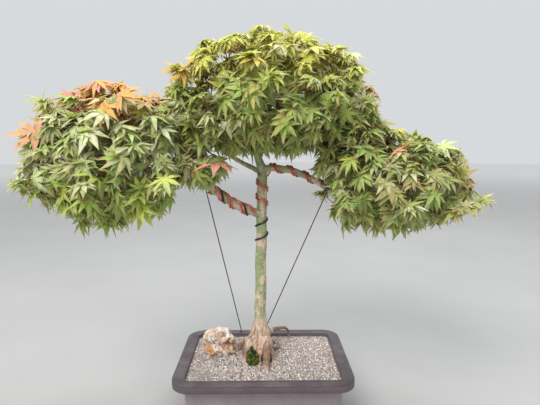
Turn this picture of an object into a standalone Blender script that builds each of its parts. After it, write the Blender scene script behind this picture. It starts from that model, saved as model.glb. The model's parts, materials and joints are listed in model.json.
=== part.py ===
"""A wired Japanese maple bonsai in a rectangular plastic training pot, in metres with +Z up.

The origin is the centre of the pot's underside. The tree's front faces -Y.
"""

import math

import bmesh
import bpy
from mathutils import Matrix, Vector
from mathutils.bvhtree import BVHTree
from mathutils.noise import noise

for old_object in list(bpy.data.objects):
    bpy.data.objects.remove(old_object, do_unlink=True)

MM = 0.001
GAP = 0.3 * MM

# Pot: a tapered tray with a flat flange and a downturned lip.
RIM_LENGTH = 280 * MM
RIM_DEPTH = 210 * MM
POT_HEIGHT = 90 * MM
FLANGE_WIDTH = 16 * MM
LIP_HEIGHT = 11 * MM
POT_WALL = 3 * MM
POT_FLOOR = 6 * MM
POT_TAPER = 7 * MM
CORNER_RADIUS = 14 * MM
CORNER_STEPS = 5
GROOVE_DEPTH = 2.2 * MM
GROOVE_WIDTH = 9 * MM
PAD_LENGTH = 62 * MM
PAD_DEPTH = 44 * MM
DRAIN_RADIUS = 8 * MM
EYELET_RADIUS = 1.9 * MM
RIM_BEAD = 0.8 * MM

# What fills the pot.
SCREEN_THICKNESS = 1.2 * MM
SOIL_DROP = 5 * MM

# Tree.
TRUNK_X = -6 * MM
TRUNK_Y = 12 * MM
TRUNK_RADIUS = 10 * MM
LEFT_FORK_HEIGHT = 245 * MM
RIGHT_FORK_HEIGHT = 319 * MM
LEFT_LIMB_DROP = 7 * MM
ROOT_BALL_DEPTH = 27 * MM
LEFT_BRANCH_RADIUS = 7 * MM
RIGHT_BRANCH_RADIUS = 6 * MM
ROOT_RADIUS = 8 * MM
TWIG_TIP_RADIUS = 1.2 * MM
TWIG_GAP = 0.6 * MM
CROWN_OFFSET = 9 * MM
TWIG_BASE_RADIUS = 2.6 * MM
SHORTEST_TWIG = 45 * MM

# Leaf sprays: flat-bottomed tufts that hang on the crown like roof tiles.
SPRAY_THICKNESS = 13 * MM
SPRAY_SIDES = 10
SPRAY_SPACING = 2 * MM
LARGEST_SPRAY = 54 * MM

# Wires.
WIRE_RADIUS = 1.5 * MM
WIRE_CLEARANCE = 0.8 * MM
WIRE_SPACING = 1.9 * MM
BRIDGE_STEP = 3.5 * MM
OUTER_STRAND_EXTRA = 2.0 * MM
LEFT_COIL_SETBACK = 3.5 * MM
RIGHT_COIL_SETBACK = 2.5 * MM
BLACK_COIL_DROP = 46 * MM
BLACK_COIL_TURNS = 1.9
RIGHT_COIL_RISE = 12 * MM
RIGHT_TRUNK_COIL = 50 * MM
LEFT_PITCH = 46 * MM
RIGHT_PITCH = 27 * MM
TRUNK_PITCH = 24 * MM
WOUND_LENGTH = 104 * MM
GUY_RADIUS = 0.9 * MM
GUY_LOOP_OFFSET = 9 * MM
GUY_TURNS = 1.1
GUY_FOOT_X = (-43 * MM, 3 * MM)
GUY_HOOK_LENGTH = 10 * MM

# Rock and moss.
ROCK_LENGTH = 54 * MM
ROCK_DEPTH = 40 * MM
ROCK_HEIGHT = 42 * MM
MOSS_LENGTH = 28 * MM
MOSS_WIDTH = 20 * MM
MOSS_HEIGHT = 9 * MM

WIRE_LANE = 2 * WIRE_RADIUS + WIRE_SPACING
LEFT_COIL_START = TRUNK_RADIUS + LEFT_COIL_SETBACK
RIGHT_COIL_START = TRUNK_RADIUS + RIGHT_COIL_SETBACK
SOIL_TOP = POT_HEIGHT - SOIL_DROP
BODY_LENGTH = RIM_LENGTH - 2 * FLANGE_WIDTH
BODY_DEPTH = RIM_DEPTH - 2 * FLANGE_WIDTH
FLANGE_MIDDLE = RIM_DEPTH / 2 - POT_WALL - (FLANGE_WIDTH - POT_WALL) / 2


# ---------------------------------------------------------------- helpers


def plain_material(name, colour, roughness, metallic=0.0):
    made = bpy.data.materials.new(name)
    made.use_nodes = True
    shader = made.node_tree.nodes["Principled BSDF"]
    shader.inputs["Base Color"].default_value = (*colour, 1.0)
    shader.inputs["Roughness"].default_value = roughness
    shader.inputs["Metallic"].default_value = metallic
    made.diffuse_color = (*colour, 1.0)
    return made


def add_object(name, shape, material, helper=False):
    """Turns a bmesh into an object; a helper only cuts or joins and isn't part of the model."""
    bmesh.ops.recalc_face_normals(shape, faces=shape.faces)
    mesh = bpy.data.meshes.new(name)
    shape.to_mesh(mesh)
    shape.free()
    made = bpy.data.objects.new(name, mesh)
    if material:
        mesh.materials.append(material)
    bpy.context.scene.collection.objects.link(made)
    if helper:
        made.hide_render = True
        made.display_type = "WIRE"
    return made


def rounded_rectangle(half_x, half_y, corner, height):
    points = []
    for centre_x, centre_y, first_angle in (
        (half_x - corner, half_y - corner, 0),
        (corner - half_x, half_y - corner, 90),
        (corner - half_x, corner - half_y, 180),
        (half_x - corner, corner - half_y, 270),
    ):
        for step in range(CORNER_STEPS + 1):
            angle = math.radians(first_angle + 90 * step / CORNER_STEPS)
            x = centre_x + corner * math.cos(angle)
            y = centre_y + corner * math.sin(angle)
            points.append(Vector((x, y, height)))
    return points


def loft(shape, loops, closed_profile=False):
    """Skins equal loops of points; an open profile is capped at both ends."""
    rings = [[shape.verts.new(point) for point in loop] for loop in loops]
    count = len(rings[0])
    pairs = list(zip(rings, rings[1:]))
    if closed_profile:
        pairs.append((rings[-1], rings[0]))
    for lower, upper in pairs:
        for index in range(count):
            following = (index + 1) % count
            shape.faces.new((lower[index], lower[following], upper[following], upper[index]))
    if not closed_profile:
        shape.faces.new(rings[0])
        shape.faces.new(rings[-1])
    return shape


def catmull_rom(values, position):
    """The smooth curve through the values, read at a position counted in values."""
    last = len(values) - 1
    index = min(int(position), last - 1)
    share = position - index
    before = values[max(index - 1, 0)]
    first = values[index]
    second = values[index + 1]
    after = values[min(index + 2, last)]
    return 0.5 * (
        2 * first
        + (second - before) * share
        + (2 * before - 5 * first + 4 * second - after) * share**2
        + (3 * first - before - 3 * second + after) * share**3
    )


def smooth_route(points, radii, steps):
    """Reads a hand-chosen route at a number of even steps, as (points, radii)."""
    last = len(points) - 1
    places = [last * step / steps for step in range(steps + 1)]
    return [catmull_rom(points, place) for place in places], [
        catmull_rom(radii, place) for place in places
    ]


def tangents_of(points):
    last = len(points) - 1
    return [
        (points[min(index + 1, last)] - points[max(index - 1, 0)]).normalized()
        for index in range(last + 1)
    ]


def tube(points, radii, sides, grow=0.0):
    """A closed tube along the points, with flat ends; grow makes it fatter and longer all round."""
    tangents = tangents_of(points)
    side = tangents[0].orthogonal().normalized()
    loops = []
    last = len(points) - 1
    for index, (point, radius, tangent) in enumerate(zip(points, radii, tangents)):
        side = (side - tangent * side.dot(tangent)).normalized()
        other = tangent.cross(side)
        centre = point.copy()
        if index == 0:
            centre -= tangent * grow
        if index == last:
            centre += tangent * grow
        loop = []
        for corner in range(sides):
            angle = 2 * math.pi * corner / sides
            reach = side * math.cos(angle) + other * math.sin(angle)
            loop.append(centre + reach * (radius + grow))
        loops.append(loop)
    return loft(bmesh.new(), loops)


def box(name, size, centre):
    shape = bmesh.new()
    place = Matrix.Translation(centre) @ Matrix.Diagonal((*size, 1))
    bmesh.ops.create_cube(shape, size=1, matrix=place)
    return add_object(name, shape, None, helper=True)


def upright_cylinder(name, radius, bottom, top, x, y):
    shape = bmesh.new()
    bmesh.ops.create_cone(
        shape,
        cap_ends=True,
        segments=16,
        radius1=radius,
        radius2=radius,
        depth=top - bottom,
        matrix=Matrix.Translation((x, y, (top + bottom) / 2)),
    )
    return add_object(name, shape, None, helper=True)


def cut_or_join(target, helpers, operation, name):
    group = bpy.data.collections.new(name)
    group.hide_render = True
    bpy.context.scene.collection.children.link(group)
    for helper in helpers:
        if bpy.context.scene.collection in helper.users_collection:
            bpy.context.scene.collection.objects.unlink(helper)
        group.objects.link(helper)
    modifier = target.modifiers.new(name, "BOOLEAN")
    modifier.operation = operation
    modifier.operand_type = "COLLECTION"
    modifier.collection = group


def keep_largest_shell(target):
    """Applies the modifiers and fills any void that the joined pieces shut in between them."""
    bpy.context.view_layer.update()
    graph = bpy.context.evaluated_depsgraph_get()
    joined = bmesh.new()
    joined.from_mesh(target.evaluated_get(graph).to_mesh())
    unseen = set(joined.verts)
    shells = []
    while unseen:
        shell = []
        queue = [unseen.pop()]
        while queue:
            vertex = queue.pop()
            shell.append(vertex)
            for edge in vertex.link_edges:
                neighbour = edge.other_vert(vertex)
                if neighbour in unseen:
                    unseen.remove(neighbour)
                    queue.append(neighbour)
        shells.append(shell)
    shells.sort(key=len)
    for shell in shells[:-1]:
        bmesh.ops.delete(joined, geom=shell, context="VERTS")
    target.modifiers.clear()
    joined.to_mesh(target.data)
    joined.free()


def millimetres(rows):
    """Splits rows of (x, y, z, radius) in millimetres into points and radii in metres."""
    return [Vector(row[:3]) * MM for row in rows], [row[3] * MM for row in rows]


# ---------------------------------------------------------------- materials

POT_PLASTIC = plain_material("pot_plastic", (0.105, 0.085, 0.085), 0.55)
GRIT = plain_material("grit", (0.50, 0.44, 0.37), 0.95)
SCREEN_PLASTIC = plain_material("screen_plastic", (0.03, 0.03, 0.03), 0.6)
ROCK_STONE = plain_material("rock_stone", (0.62, 0.50, 0.38), 0.85)
MOSS = plain_material("moss", (0.10, 0.20, 0.03), 0.95)
BARK = plain_material("bark", (0.26, 0.25, 0.12), 0.75)
COPPER = plain_material("copper_wire", (0.50, 0.13, 0.09), 0.35, 0.9)
BLACK_WIRE = plain_material("black_wire", (0.03, 0.03, 0.035), 0.35, 0.8)
GUY_WIRE = plain_material("guy_wire", (0.08, 0.06, 0.05), 0.5, 0.6)
LEAF = plain_material("leaf", (0.15, 0.28, 0.06), 0.6)


# ---------------------------------------------------------------- pot


def pot_profile():
    """The wall's closed section as (half length, half depth, corner radius, height)."""
    rim_x = RIM_LENGTH / 2
    rim_y = RIM_DEPTH / 2
    body_x = BODY_LENGTH / 2
    body_y = BODY_DEPTH / 2
    under_flange = POT_HEIGHT - POT_WALL
    foot_x = body_x - POT_TAPER
    foot_y = body_y - POT_TAPER
    rim_corner = CORNER_RADIUS + FLANGE_WIDTH
    return [
        (foot_x, foot_y, CORNER_RADIUS, 0.0),
        (body_x, body_y, CORNER_RADIUS, under_flange),
        (rim_x - POT_WALL, rim_y - POT_WALL, rim_corner - POT_WALL, under_flange),
        (rim_x - POT_WALL, rim_y - POT_WALL, rim_corner - POT_WALL, POT_HEIGHT - LIP_HEIGHT),
        (rim_x, rim_y, rim_corner, POT_HEIGHT - LIP_HEIGHT),
        (rim_x, rim_y, rim_corner, POT_HEIGHT - RIM_BEAD),
        (rim_x - RIM_BEAD, rim_y - RIM_BEAD, rim_corner - RIM_BEAD, POT_HEIGHT),
        (body_x - POT_WALL, body_y - POT_WALL, CORNER_RADIUS - POT_WALL, POT_HEIGHT),
        (foot_x - POT_WALL, foot_y - POT_WALL, CORNER_RADIUS - POT_WALL, POT_FLOOR),
    ]


def make_pot():
    shape = loft(bmesh.new(), [rounded_rectangle(*row) for row in pot_profile()])
    pot = add_object("pot", shape, POT_PLASTIC)
    cutters = []
    groove_x = (PAD_LENGTH + GROOVE_WIDTH) / 2
    groove_y = (PAD_DEPTH + GROOVE_WIDTH) / 2
    for sign in (-1, 1):
        size = (GROOVE_WIDTH, RIM_DEPTH, 2 * GROOVE_DEPTH)
        cutters.append(box(f"groove_across_{sign}", size, (sign * groove_x, 0, 0)))
    for sign in (-1, 1):
        size = (RIM_LENGTH, GROOVE_WIDTH, 2 * GROOVE_DEPTH)
        cutters.append(box(f"groove_along_{sign}", size, (0, sign * groove_y, 0)))
    cut_or_join(pot, cutters, "DIFFERENCE", "grooves")
    holes = []
    for column in (-1, 1):
        for row in (-1, 1):
            name = f"drain_{column}_{row}"
            middle = (column * groove_x, row * groove_y)
            holes.append(upright_cylinder(name, DRAIN_RADIUS, -POT_FLOOR, 2 * POT_FLOOR, *middle))
    cut_or_join(pot, holes, "DIFFERENCE", "drain_holes")
    eyelets = []
    below_flange = POT_HEIGHT - 2 * POT_WALL
    for index, foot_x in enumerate(GUY_FOOT_X):
        place = (POT_HEIGHT + POT_WALL, foot_x, FLANGE_MIDDLE)
        eyelets.append(upright_cylinder(f"eyelet_{index}", EYELET_RADIUS, below_flange, *place))
    cut_or_join(pot, eyelets, "DIFFERENCE", "eyelets")
    return pot


def inside_of_pot(height):
    """The cavity's outline at a height, with the clearance that touching pieces keep."""
    share = (height - POT_FLOOR) / (POT_HEIGHT - POT_FLOOR)
    inset = POT_WALL + GAP + POT_TAPER * (1 - share)
    corner = CORNER_RADIUS - POT_WALL
    return rounded_rectangle(BODY_LENGTH / 2 - inset, BODY_DEPTH / 2 - inset, corner, height)


def make_screen():
    bottom = POT_FLOOR + GAP
    loops = [inside_of_pot(bottom), inside_of_pot(bottom + SCREEN_THICKNESS)]
    return add_object("drainage_screen", loft(bmesh.new(), loops), SCREEN_PLASTIC)


# ---------------------------------------------------------------- tree

# The trunk below the first fork, as heights above the soil and radii as shares of TRUNK_RADIUS.
TRUNK_ROWS = (
    (0, 2, -27, 0.55),
    (0, 1, -12, 0.75),
    (0, 0, 3, 0.95),
    (0, 0, 17, 1.22),
    (0, 0, 30, 1.42),
    (0, 0, 41, 1.38),
    (0, 0, 52, 1.22),
    (1, 0, 64, 1.06),
    (0, 0, 85, 1.0),
    (2, 0, 120, 0.98),
    (1, 1, 160, 0.96),
    (3, 0, 200, 0.93),
    (3, 0, 245, 0.90),
    (4, 1, 283, 0.86),
    (4, 0, 319, 0.80),
    (-2, 1, 336, 0.66),
    (-6, 4, 362, 0.56),
    (-3, 8, 394, 0.47),
    (8, 10, 428, 0.38),
    (19, 7, 460, 0.29),
    (26, 5, 486, 0.22),
)

# Side branches, as offsets in millimetres from the fork that they leave, and radii as shares.
LEFT_BRANCH_ROWS = (
    (0, 0, 0, 1.10),
    (-11, -8, 4, 1.06),
    (-26, -18, 11, 1.02),
    (-44, -30, 21, 0.97),
    (-59, -39, 33, 0.92),
    (-75, -48, 45, 0.87),
    (-95, -56, 58, 0.80),
    (-132, -61, 68, 0.68),
    (-184, -59, 78, 0.56),
    (-232, -54, 86, 0.44),
    (-272, -49, 90, 0.34),
)
RIGHT_BRANCH_ROWS = (
    (0, 0, 0, 1.08),
    (17, -2, 3, 1.03),
    (35, -5, 1, 0.98),
    (55, -9, -3, 0.93),
    (75, -12, -12, 0.88),
    (93, -16, -21, 0.84),
    (109, -20, -34, 0.80),
    (127, -22, -46, 0.76),
    (144, -19, -55, 0.70),
    (168, -12, -58, 0.62),
    (206, -8, -54, 0.52),
    (248, -6, -50, 0.42),
    (284, -6, -48, 0.34),
)
LEFT_LIMB_ROWS = (
    (0, 0, 0, 0.80),
    (-13, 6, 8, 0.76),
    (-34, 14, 18, 0.68),
    (-58, 20, 32, 0.56),
    (-84, 22, 50, 0.44),
)

# Roots, as millimetres from the trunk's centre at the soil, and radii as shares of ROOT_RADIUS.
ROOT_ROWS = {
    "left_leg": (
        (-6, -6, 33, 1.1), (-16, -10, 25, 0.85), (-23, -16, 15, 0.68), (-25, -24, 5, 0.56),
        (-26, -32, -4, 0.42), (-27, -38, -10, 0.3),
    ),
    "tongue": (
        (-2, -8, 31, 1.15), (-3, -16, 19, 1.0), (-3, -23, 9, 0.7), (-3, -28, 1, 0.42), (-3, -31, -6, 0.25),
    ),
    "front_root": (
        (4, -6, 33, 1.1), (9, -18, 27, 1.0), (11, -30, 19, 0.82), (11, -42, 11, 0.7),
        (11, -54, 4, 0.56), (12, -66, -3, 0.4), (12, -75, -9, 0.26),
    ),
    "thin_front_root": (
        (2, -18, 18, 0.5), (1, -32, 9, 0.36), (0, -46, 2, 0.3), (-1, -56, -6, 0.2),
    ),
    "left_root": (
        (-8, 4, 27, 0.9), (-22, 8, 21, 0.64), (-32, 12, 13, 0.5), (-37, 14, 4, 0.38), (-38, 15, -6, 0.26),
    ),
    "left_back_root": (
        (-10, 8, 22, 0.7), (-22, 20, 13, 0.5), (-28, 30, 5, 0.38), (-31, 36, -5, 0.25),
    ),
    "arched_root": (
        (8, 7, 37, 0.62), (22, 22, 35, 0.46), (36, 40, 31, 0.38), (47, 54, 25, 0.34),
        (52, 60, 15, 0.31), (54, 63, 3, 0.28), (54, 64, -7, 0.22),
    ),
    "right_root": (
        (9, 2, 21, 0.8), (20, 7, 12, 0.52), (30, 14, 6, 0.38), (40, 22, 1, 0.3), (49, 28, -5, 0.22),
    ),
    "right_front_root": (
        (9, -8, 24, 0.8), (18, -18, 13, 0.56), (23, -28, 4, 0.4), (25, -36, -5, 0.26),
    ),
    "back_root": (
        (-2, 8, 27, 1.1), (-3, 20, 18, 0.86), (-4, 34, 9, 0.62), (-4, 46, 1, 0.44), (-4, 56, -7, 0.28),
    ),
    "right_back_root": (
        (8, 8, 20, 0.74), (20, 24, 11, 0.5), (26, 38, 3, 0.38), (30, 48, -6, 0.25),
    ),
}
TRUNK_SIDES = 10
BRANCH_SIDES = 8
ROOT_SIDES = 7
TWIG_SIDES = 5
ROOT_CLEARANCE = 0.5 * MM


def scaled_rows(rows, start, unit):
    points, shares = millimetres(rows)
    return [start + point for point in points], [share / MM * unit for share in shares]


def trunk_route():
    """The trunk's route, stretched so that both forks sit at their named heights."""
    points = []
    radii = []
    drawn_heights = (-27 * MM, 0.0, 245 * MM, 319 * MM, 486 * MM)
    tree_top = RIGHT_FORK_HEIGHT + drawn_heights[4] - drawn_heights[3]
    wanted_heights = (-ROOT_BALL_DEPTH, 0.0, LEFT_FORK_HEIGHT, RIGHT_FORK_HEIGHT, tree_top)
    for x, y, height, share in TRUNK_ROWS:
        drawn = height * MM
        span = 0
        while drawn > drawn_heights[span + 1]:
            span += 1
        low, high = drawn_heights[span], drawn_heights[span + 1]
        part = (drawn - low) / (high - low)
        new = wanted_heights[span] + part * (wanted_heights[span + 1] - wanted_heights[span])
        points.append(Vector((TRUNK_X + x * MM, TRUNK_Y + y * MM, SOIL_TOP + new)))
        radii.append(share * TRUNK_RADIUS)
    return points, radii


def point_at_height(points, height):
    for lower, upper in zip(points, points[1:]):
        if lower.z <= height <= upper.z:
            return lower.lerp(upper, (height - lower.z) / (upper.z - lower.z))
    return points[-1].copy()


def root_routes():
    foot = Vector((TRUNK_X, TRUNK_Y, SOIL_TOP))
    for name, rows in ROOT_ROWS.items():
        points, radii = scaled_rows(rows, foot, ROOT_RADIUS)
        yield name, *smooth_route(points, radii, 2 * len(rows) - 2)


def route_network(points, radii, first_length):
    """(point, tangent, radius) along a route, from a length along it onwards."""
    length = 0.0
    found = []
    tangents = tangents_of(points)
    for index, point in enumerate(points):
        if index:
            length += (point - points[index - 1]).length
        if length >= first_length:
            found.append((point, tangents[index], radii[index]))
    return found


def twig_to(network, tip, direction):
    """A twig that forks off the best-placed wood and reaches a spray's underside squarely."""
    start, tangent, wood_radius = min(
        (row for row in network if (tip - row[0]).length > SHORTEST_TWIG),
        key=lambda row: (tip - row[0]).length * (1.7 - (tip - row[0]).normalized().dot(row[1])),
    )
    reach = (tip - start).length
    corners = (
        start,
        start + tangent * reach * 0.32,
        tip - direction * reach * 0.34,
        tip,
    )
    steps = 5
    points = []
    for step in range(steps + 1):
        share = step / steps
        left = 1 - share
        points.append(
            corners[0] * left**3
            + corners[1] * 3 * share * left**2
            + corners[2] * 3 * share**2 * left
            + corners[3] * share**3
        )
    base = min(TWIG_BASE_RADIUS, 0.8 * wood_radius)
    radii = [base + (TWIG_TIP_RADIUS - base) * step / steps for step in range(steps + 1)]
    return points, radii


# ---------------------------------------------------------------- crown


class Pad:
    """One domed layer of foliage: rings of sprays over half an ellipsoid."""

    def __init__(self, name, centre, size, rings, open_angle, open_width, turn):
        self.name = name
        self.centre = Vector(centre)
        self.size = size
        self.rings = rings
        self.open_angle = open_angle
        self.open_width = open_width
        self.turn = turn

    def places(self):
        """(centre, outward direction) of each spray, the top one first."""
        found = []
        for elevation, count in self.rings:
            if count == 1:
                angles = [0.0]
            elif elevation < 20:
                usable = 360 - self.open_width
                first = self.open_angle + self.open_width / 2
                angles = [first + usable * (index + 0.5) / count for index in range(count)]
            else:
                angles = [self.turn + 360 * index / count for index in range(count)]
            for angle in angles:
                found.append(self.place(math.radians(angle), math.radians(elevation)))
        return found

    def place(self, angle, elevation):
        across, deep, high = self.size
        offset = Vector(
            (
                across * math.cos(angle) * math.cos(elevation),
                deep * math.sin(angle) * math.cos(elevation),
                high * math.sin(elevation),
            )
        )
        outward = Vector((offset.x / across**2, offset.y / deep**2, offset.z / high**2)).normalized()
        return self.centre + offset, outward.lerp(Vector((0, 0, 1)), 0.42).normalized()


def make_pads(left_fork, right_fork):
    lift = Vector((0, 0, 1)) * MM
    return (
        Pad(
            "left",
            left_fork + Vector((-224, -46, 0)) * MM + 46 * lift,
            (138 * MM, 128 * MM, 132 * MM),
            ((90, 1), (47, 5), (4, 7)),
            2,
            62,
            36,
        ),
        Pad(
            "top",
            right_fork + Vector((20, 4, 0)) * MM + 62 * lift,
            (152 * MM, 138 * MM, 142 * MM),
            ((90, 1), (47, 6), (4, 8)),
            0,
            0,
            10,
        ),
        Pad(
            "right",
            right_fork + Vector((206, -10, 0)) * MM - 58 * lift,
            (146 * MM, 130 * MM, 108 * MM),
            ((90, 1), (47, 5), (4, 8)),
            180,
            66,
            0,
        ),
    )


def spray_radius(places, index):
    """As wide as the nearest other spray allows."""
    here = places[index][0]
    nearest = min((here - other[0]).length for k, other in enumerate(places) if k != index)
    return min(nearest / 2 - SPRAY_SPACING / 2, LARGEST_SPRAY)


def make_spray(name, centre, outward, radius):
    """A low dome with a flat underside, whose middle is at the centre."""
    side = outward.orthogonal().normalized()
    other = outward.cross(side)
    base = centre - outward * SPRAY_THICKNESS / 2
    loops = []
    for share, rise in ((0.86, 0.0), (1.0, 0.28), (0.6, 0.8)):
        loop = []
        for corner in range(SPRAY_SIDES):
            angle = 2 * math.pi * corner / SPRAY_SIDES
            reach = side * math.cos(angle) + other * math.sin(angle)
            loop.append(base + reach * radius * share + outward * SPRAY_THICKNESS * rise)
        loops.append(loop)
    shape = loft(bmesh.new(), loops)
    shape.faces.ensure_lookup_table()
    bmesh.ops.poke(shape, faces=[shape.faces[-1]], offset=0.2 * SPRAY_THICKNESS)
    return add_object(name, shape, LEAF)


# ---------------------------------------------------------------- wires

FRONT = Vector((0, -1, 0))


def station(points, radii, along):
    """(centre, radius, side, other) of a route at a length along it; side faces the front."""
    index = 0
    while index < len(points) - 2 and (points[index + 1] - points[index]).length < along:
        along -= (points[index + 1] - points[index]).length
        index += 1
    share = along / (points[index + 1] - points[index]).length
    tangent = (points[index + 1] - points[index]).normalized()
    side = (FRONT - tangent * FRONT.dot(tangent)).normalized()
    radius = radii[index] + (radii[index + 1] - radii[index]) * share
    return points[index].lerp(points[index + 1], share), radius, side, tangent.cross(side)


def wind(points, radii, start, end, pitch, first_angle, samples=12):
    """A coil around a route from one length along it to another; angles start at the front.

    A positive pitch is a right-handed coil, and a negative one left-handed.
    """
    count = max(int(samples * (end - start) / abs(pitch)), 2)
    found = []
    for step in range(count + 1):
        along = start + (end - start) * step / count
        centre, radius, side, other = station(points, radii, along)
        angle = math.radians(first_angle) + 2 * math.pi * (along - start) / pitch
        reach = side * math.cos(angle) + other * math.sin(angle)
        found.append(centre + reach * (radius + WIRE_RADIUS + WIRE_CLEARANCE))
    return found


def joined_coils(first, second, longest_step):
    """Two coils as one route, with a straight bridge of short steps between them."""
    steps = int((second[0] - first[-1]).length / longest_step) + 1
    bridge = [first[-1].lerp(second[0], step / steps) for step in range(1, steps)]
    return first + bridge + second


def lift_clear(points, wood, distance):
    """Moves the points that lie too near the wood straight out to the distance."""
    for _ in range(6):
        for index, point in enumerate(points):
            nearest, normal, _, _ = wood.find_nearest(point)
            away = point - nearest
            inside = away.dot(normal) < 0
            if inside:
                points[index] = nearest + normal * distance
            elif away.length < distance:
                points[index] = nearest + away.normalized() * distance
    return points


def make_wire(name, points, material, radius, sides=5):
    return add_object(name, tube(points, [radius] * len(points), sides), material)


# ---------------------------------------------------------------- build

trunk_points, trunk_radii = trunk_route()
left_fork = point_at_height(trunk_points, SOIL_TOP + LEFT_FORK_HEIGHT)
right_fork = point_at_height(trunk_points, SOIL_TOP + RIGHT_FORK_HEIGHT)
limb_fork = point_at_height(trunk_points, SOIL_TOP + RIGHT_FORK_HEIGHT - LEFT_LIMB_DROP)

STEPS_PER_ROW = 2


def branch_line(rows, fork, radius):
    return smooth_route(*scaled_rows(rows, fork, radius), STEPS_PER_ROW * (len(rows) - 1))


trunk_line = smooth_route(trunk_points, trunk_radii, STEPS_PER_ROW * (len(TRUNK_ROWS) - 1))
left_line = branch_line(LEFT_BRANCH_ROWS, left_fork, LEFT_BRANCH_RADIUS)
right_line = branch_line(RIGHT_BRANCH_ROWS, right_fork, RIGHT_BRANCH_RADIUS)
limb_line = branch_line(LEFT_LIMB_ROWS, limb_fork, RIGHT_BRANCH_RADIUS)

WOOD_FREE_FROM = WOUND_LENGTH + 3 * GUY_LOOP_OFFSET
crown_start = RIGHT_FORK_HEIGHT + ROOT_BALL_DEPTH + CROWN_OFFSET
networks = {
    "left": route_network(*left_line, WOOD_FREE_FROM),
    "top": route_network(*trunk_line, crown_start) + route_network(*limb_line, 30 * MM),
    "right": route_network(*right_line, WOOD_FREE_FROM),
}

limbs = [
    add_object("left_branch", tube(*left_line, BRANCH_SIDES), BARK, helper=True),
    add_object("right_branch", tube(*right_line, BRANCH_SIDES), BARK, helper=True),
    add_object("left_limb", tube(*limb_line, BRANCH_SIDES), BARK, helper=True),
]
root_cutters = []
for root_name, root_points, root_radii in root_routes():
    limbs.append(add_object(root_name, tube(root_points, root_radii, ROOT_SIDES), BARK, helper=True))
    socket = tube(root_points, root_radii, ROOT_SIDES, ROOT_CLEARANCE)
    root_cutters.append(add_object(f"{root_name}_socket", socket, None, helper=True))
trunk_socket = tube(*trunk_line, TRUNK_SIDES, ROOT_CLEARANCE)
root_cutters.append(add_object("trunk_socket", trunk_socket, None, helper=True))

all_places = []
for pad in make_pads(left_fork, right_fork):
    for number, (centre, outward) in enumerate(pad.places(), start=1):
        all_places.append((centre, outward, pad.name, number))
for index, (centre, outward, pad_name, number) in enumerate(all_places):
    make_spray(f"leaf_spray_{pad_name}_{number:02d}", centre, outward, spray_radius(all_places, index))

# The outer sprays get their twigs first, and the inner ones may fork off those.
for centre, outward, pad_name, number in reversed(all_places):
    tip = centre - outward * (SPRAY_THICKNESS / 2 + TWIG_GAP)
    twig_points, twig_radii = twig_to(networks[pad_name], tip, outward)
    middle = len(twig_points) // 2
    networks[pad_name] += route_network(twig_points, twig_radii, 0)[1:middle + 1]
    limbs.append(
        add_object(f"twig_{pad_name}_{number}", tube(twig_points, twig_radii, TWIG_SIDES), BARK, helper=True)
    )

wood = add_object("trunk_and_branches", tube(*trunk_line, TRUNK_SIDES), BARK)
cut_or_join(wood, limbs, "UNION", "limbs_and_roots")
keep_largest_shell(wood)
wood_surface = BVHTree.FromObject(wood, bpy.context.evaluated_depsgraph_get())
CLEAR_OF_WOOD = WIRE_RADIUS + WIRE_CLEARANCE


# Two copper pairs share the left branch half a turn apart; lanes count outwards from the trunk.
for number, (lane, first_angle) in enumerate(((1, 180), (2, 180), (1, 0), (2, 0)), start=1):
    start = LEFT_COIL_START + lane * WIRE_LANE
    points = wind(*left_line, start, WOUND_LENGTH, LEFT_PITCH, first_angle)
    lift_clear(points, wood_surface, CLEAR_OF_WOOD)
    make_wire(f"copper_wire_left_{number}", points, COPPER, WIRE_RADIUS)

# The black wire climbs the trunk and then follows the first copper pair out along the branch.
left_fork_along = LEFT_FORK_HEIGHT + ROOT_BALL_DEPTH
black_start = left_fork_along - BLACK_COIL_DROP
black_end = black_start + BLACK_COIL_TURNS * TRUNK_PITCH
black_points = wind(*trunk_line, black_start, black_end, TRUNK_PITCH, -120)
black_branch = wind(*left_line, LEFT_COIL_START, WOUND_LENGTH, LEFT_PITCH, 180)
black_points = joined_coils(black_points, black_branch, BRIDGE_STEP)
make_wire("black_wire", lift_clear(black_points, wood_surface, CLEAR_OF_WOOD), BLACK_WIRE, WIRE_RADIUS)

# The right pair turns against the sun on the trunk and with it on the branch, as it was laid.
for strand in (0, 1):
    trunk_start = left_fork_along + RIGHT_COIL_RISE + strand * WIRE_LANE
    trunk_end = trunk_start + RIGHT_TRUNK_COIL + (1 - strand) * OUTER_STRAND_EXTRA
    wire_points = wind(*trunk_line, trunk_start, trunk_end, -TRUNK_PITCH, 150)
    branch_start = RIGHT_COIL_START + (1 - strand) * WIRE_LANE
    branch_coil = wind(*right_line, branch_start, WOUND_LENGTH, RIGHT_PITCH, 230)
    wire_points = joined_coils(wire_points, branch_coil, BRIDGE_STEP)
    lift_clear(wire_points, wood_surface, CLEAR_OF_WOOD)
    make_wire(f"copper_wire_right_{strand + 1}", wire_points, COPPER, WIRE_RADIUS)

# Guy wires: a loop round the branch, a straight run, and a hook through the flange.


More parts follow.
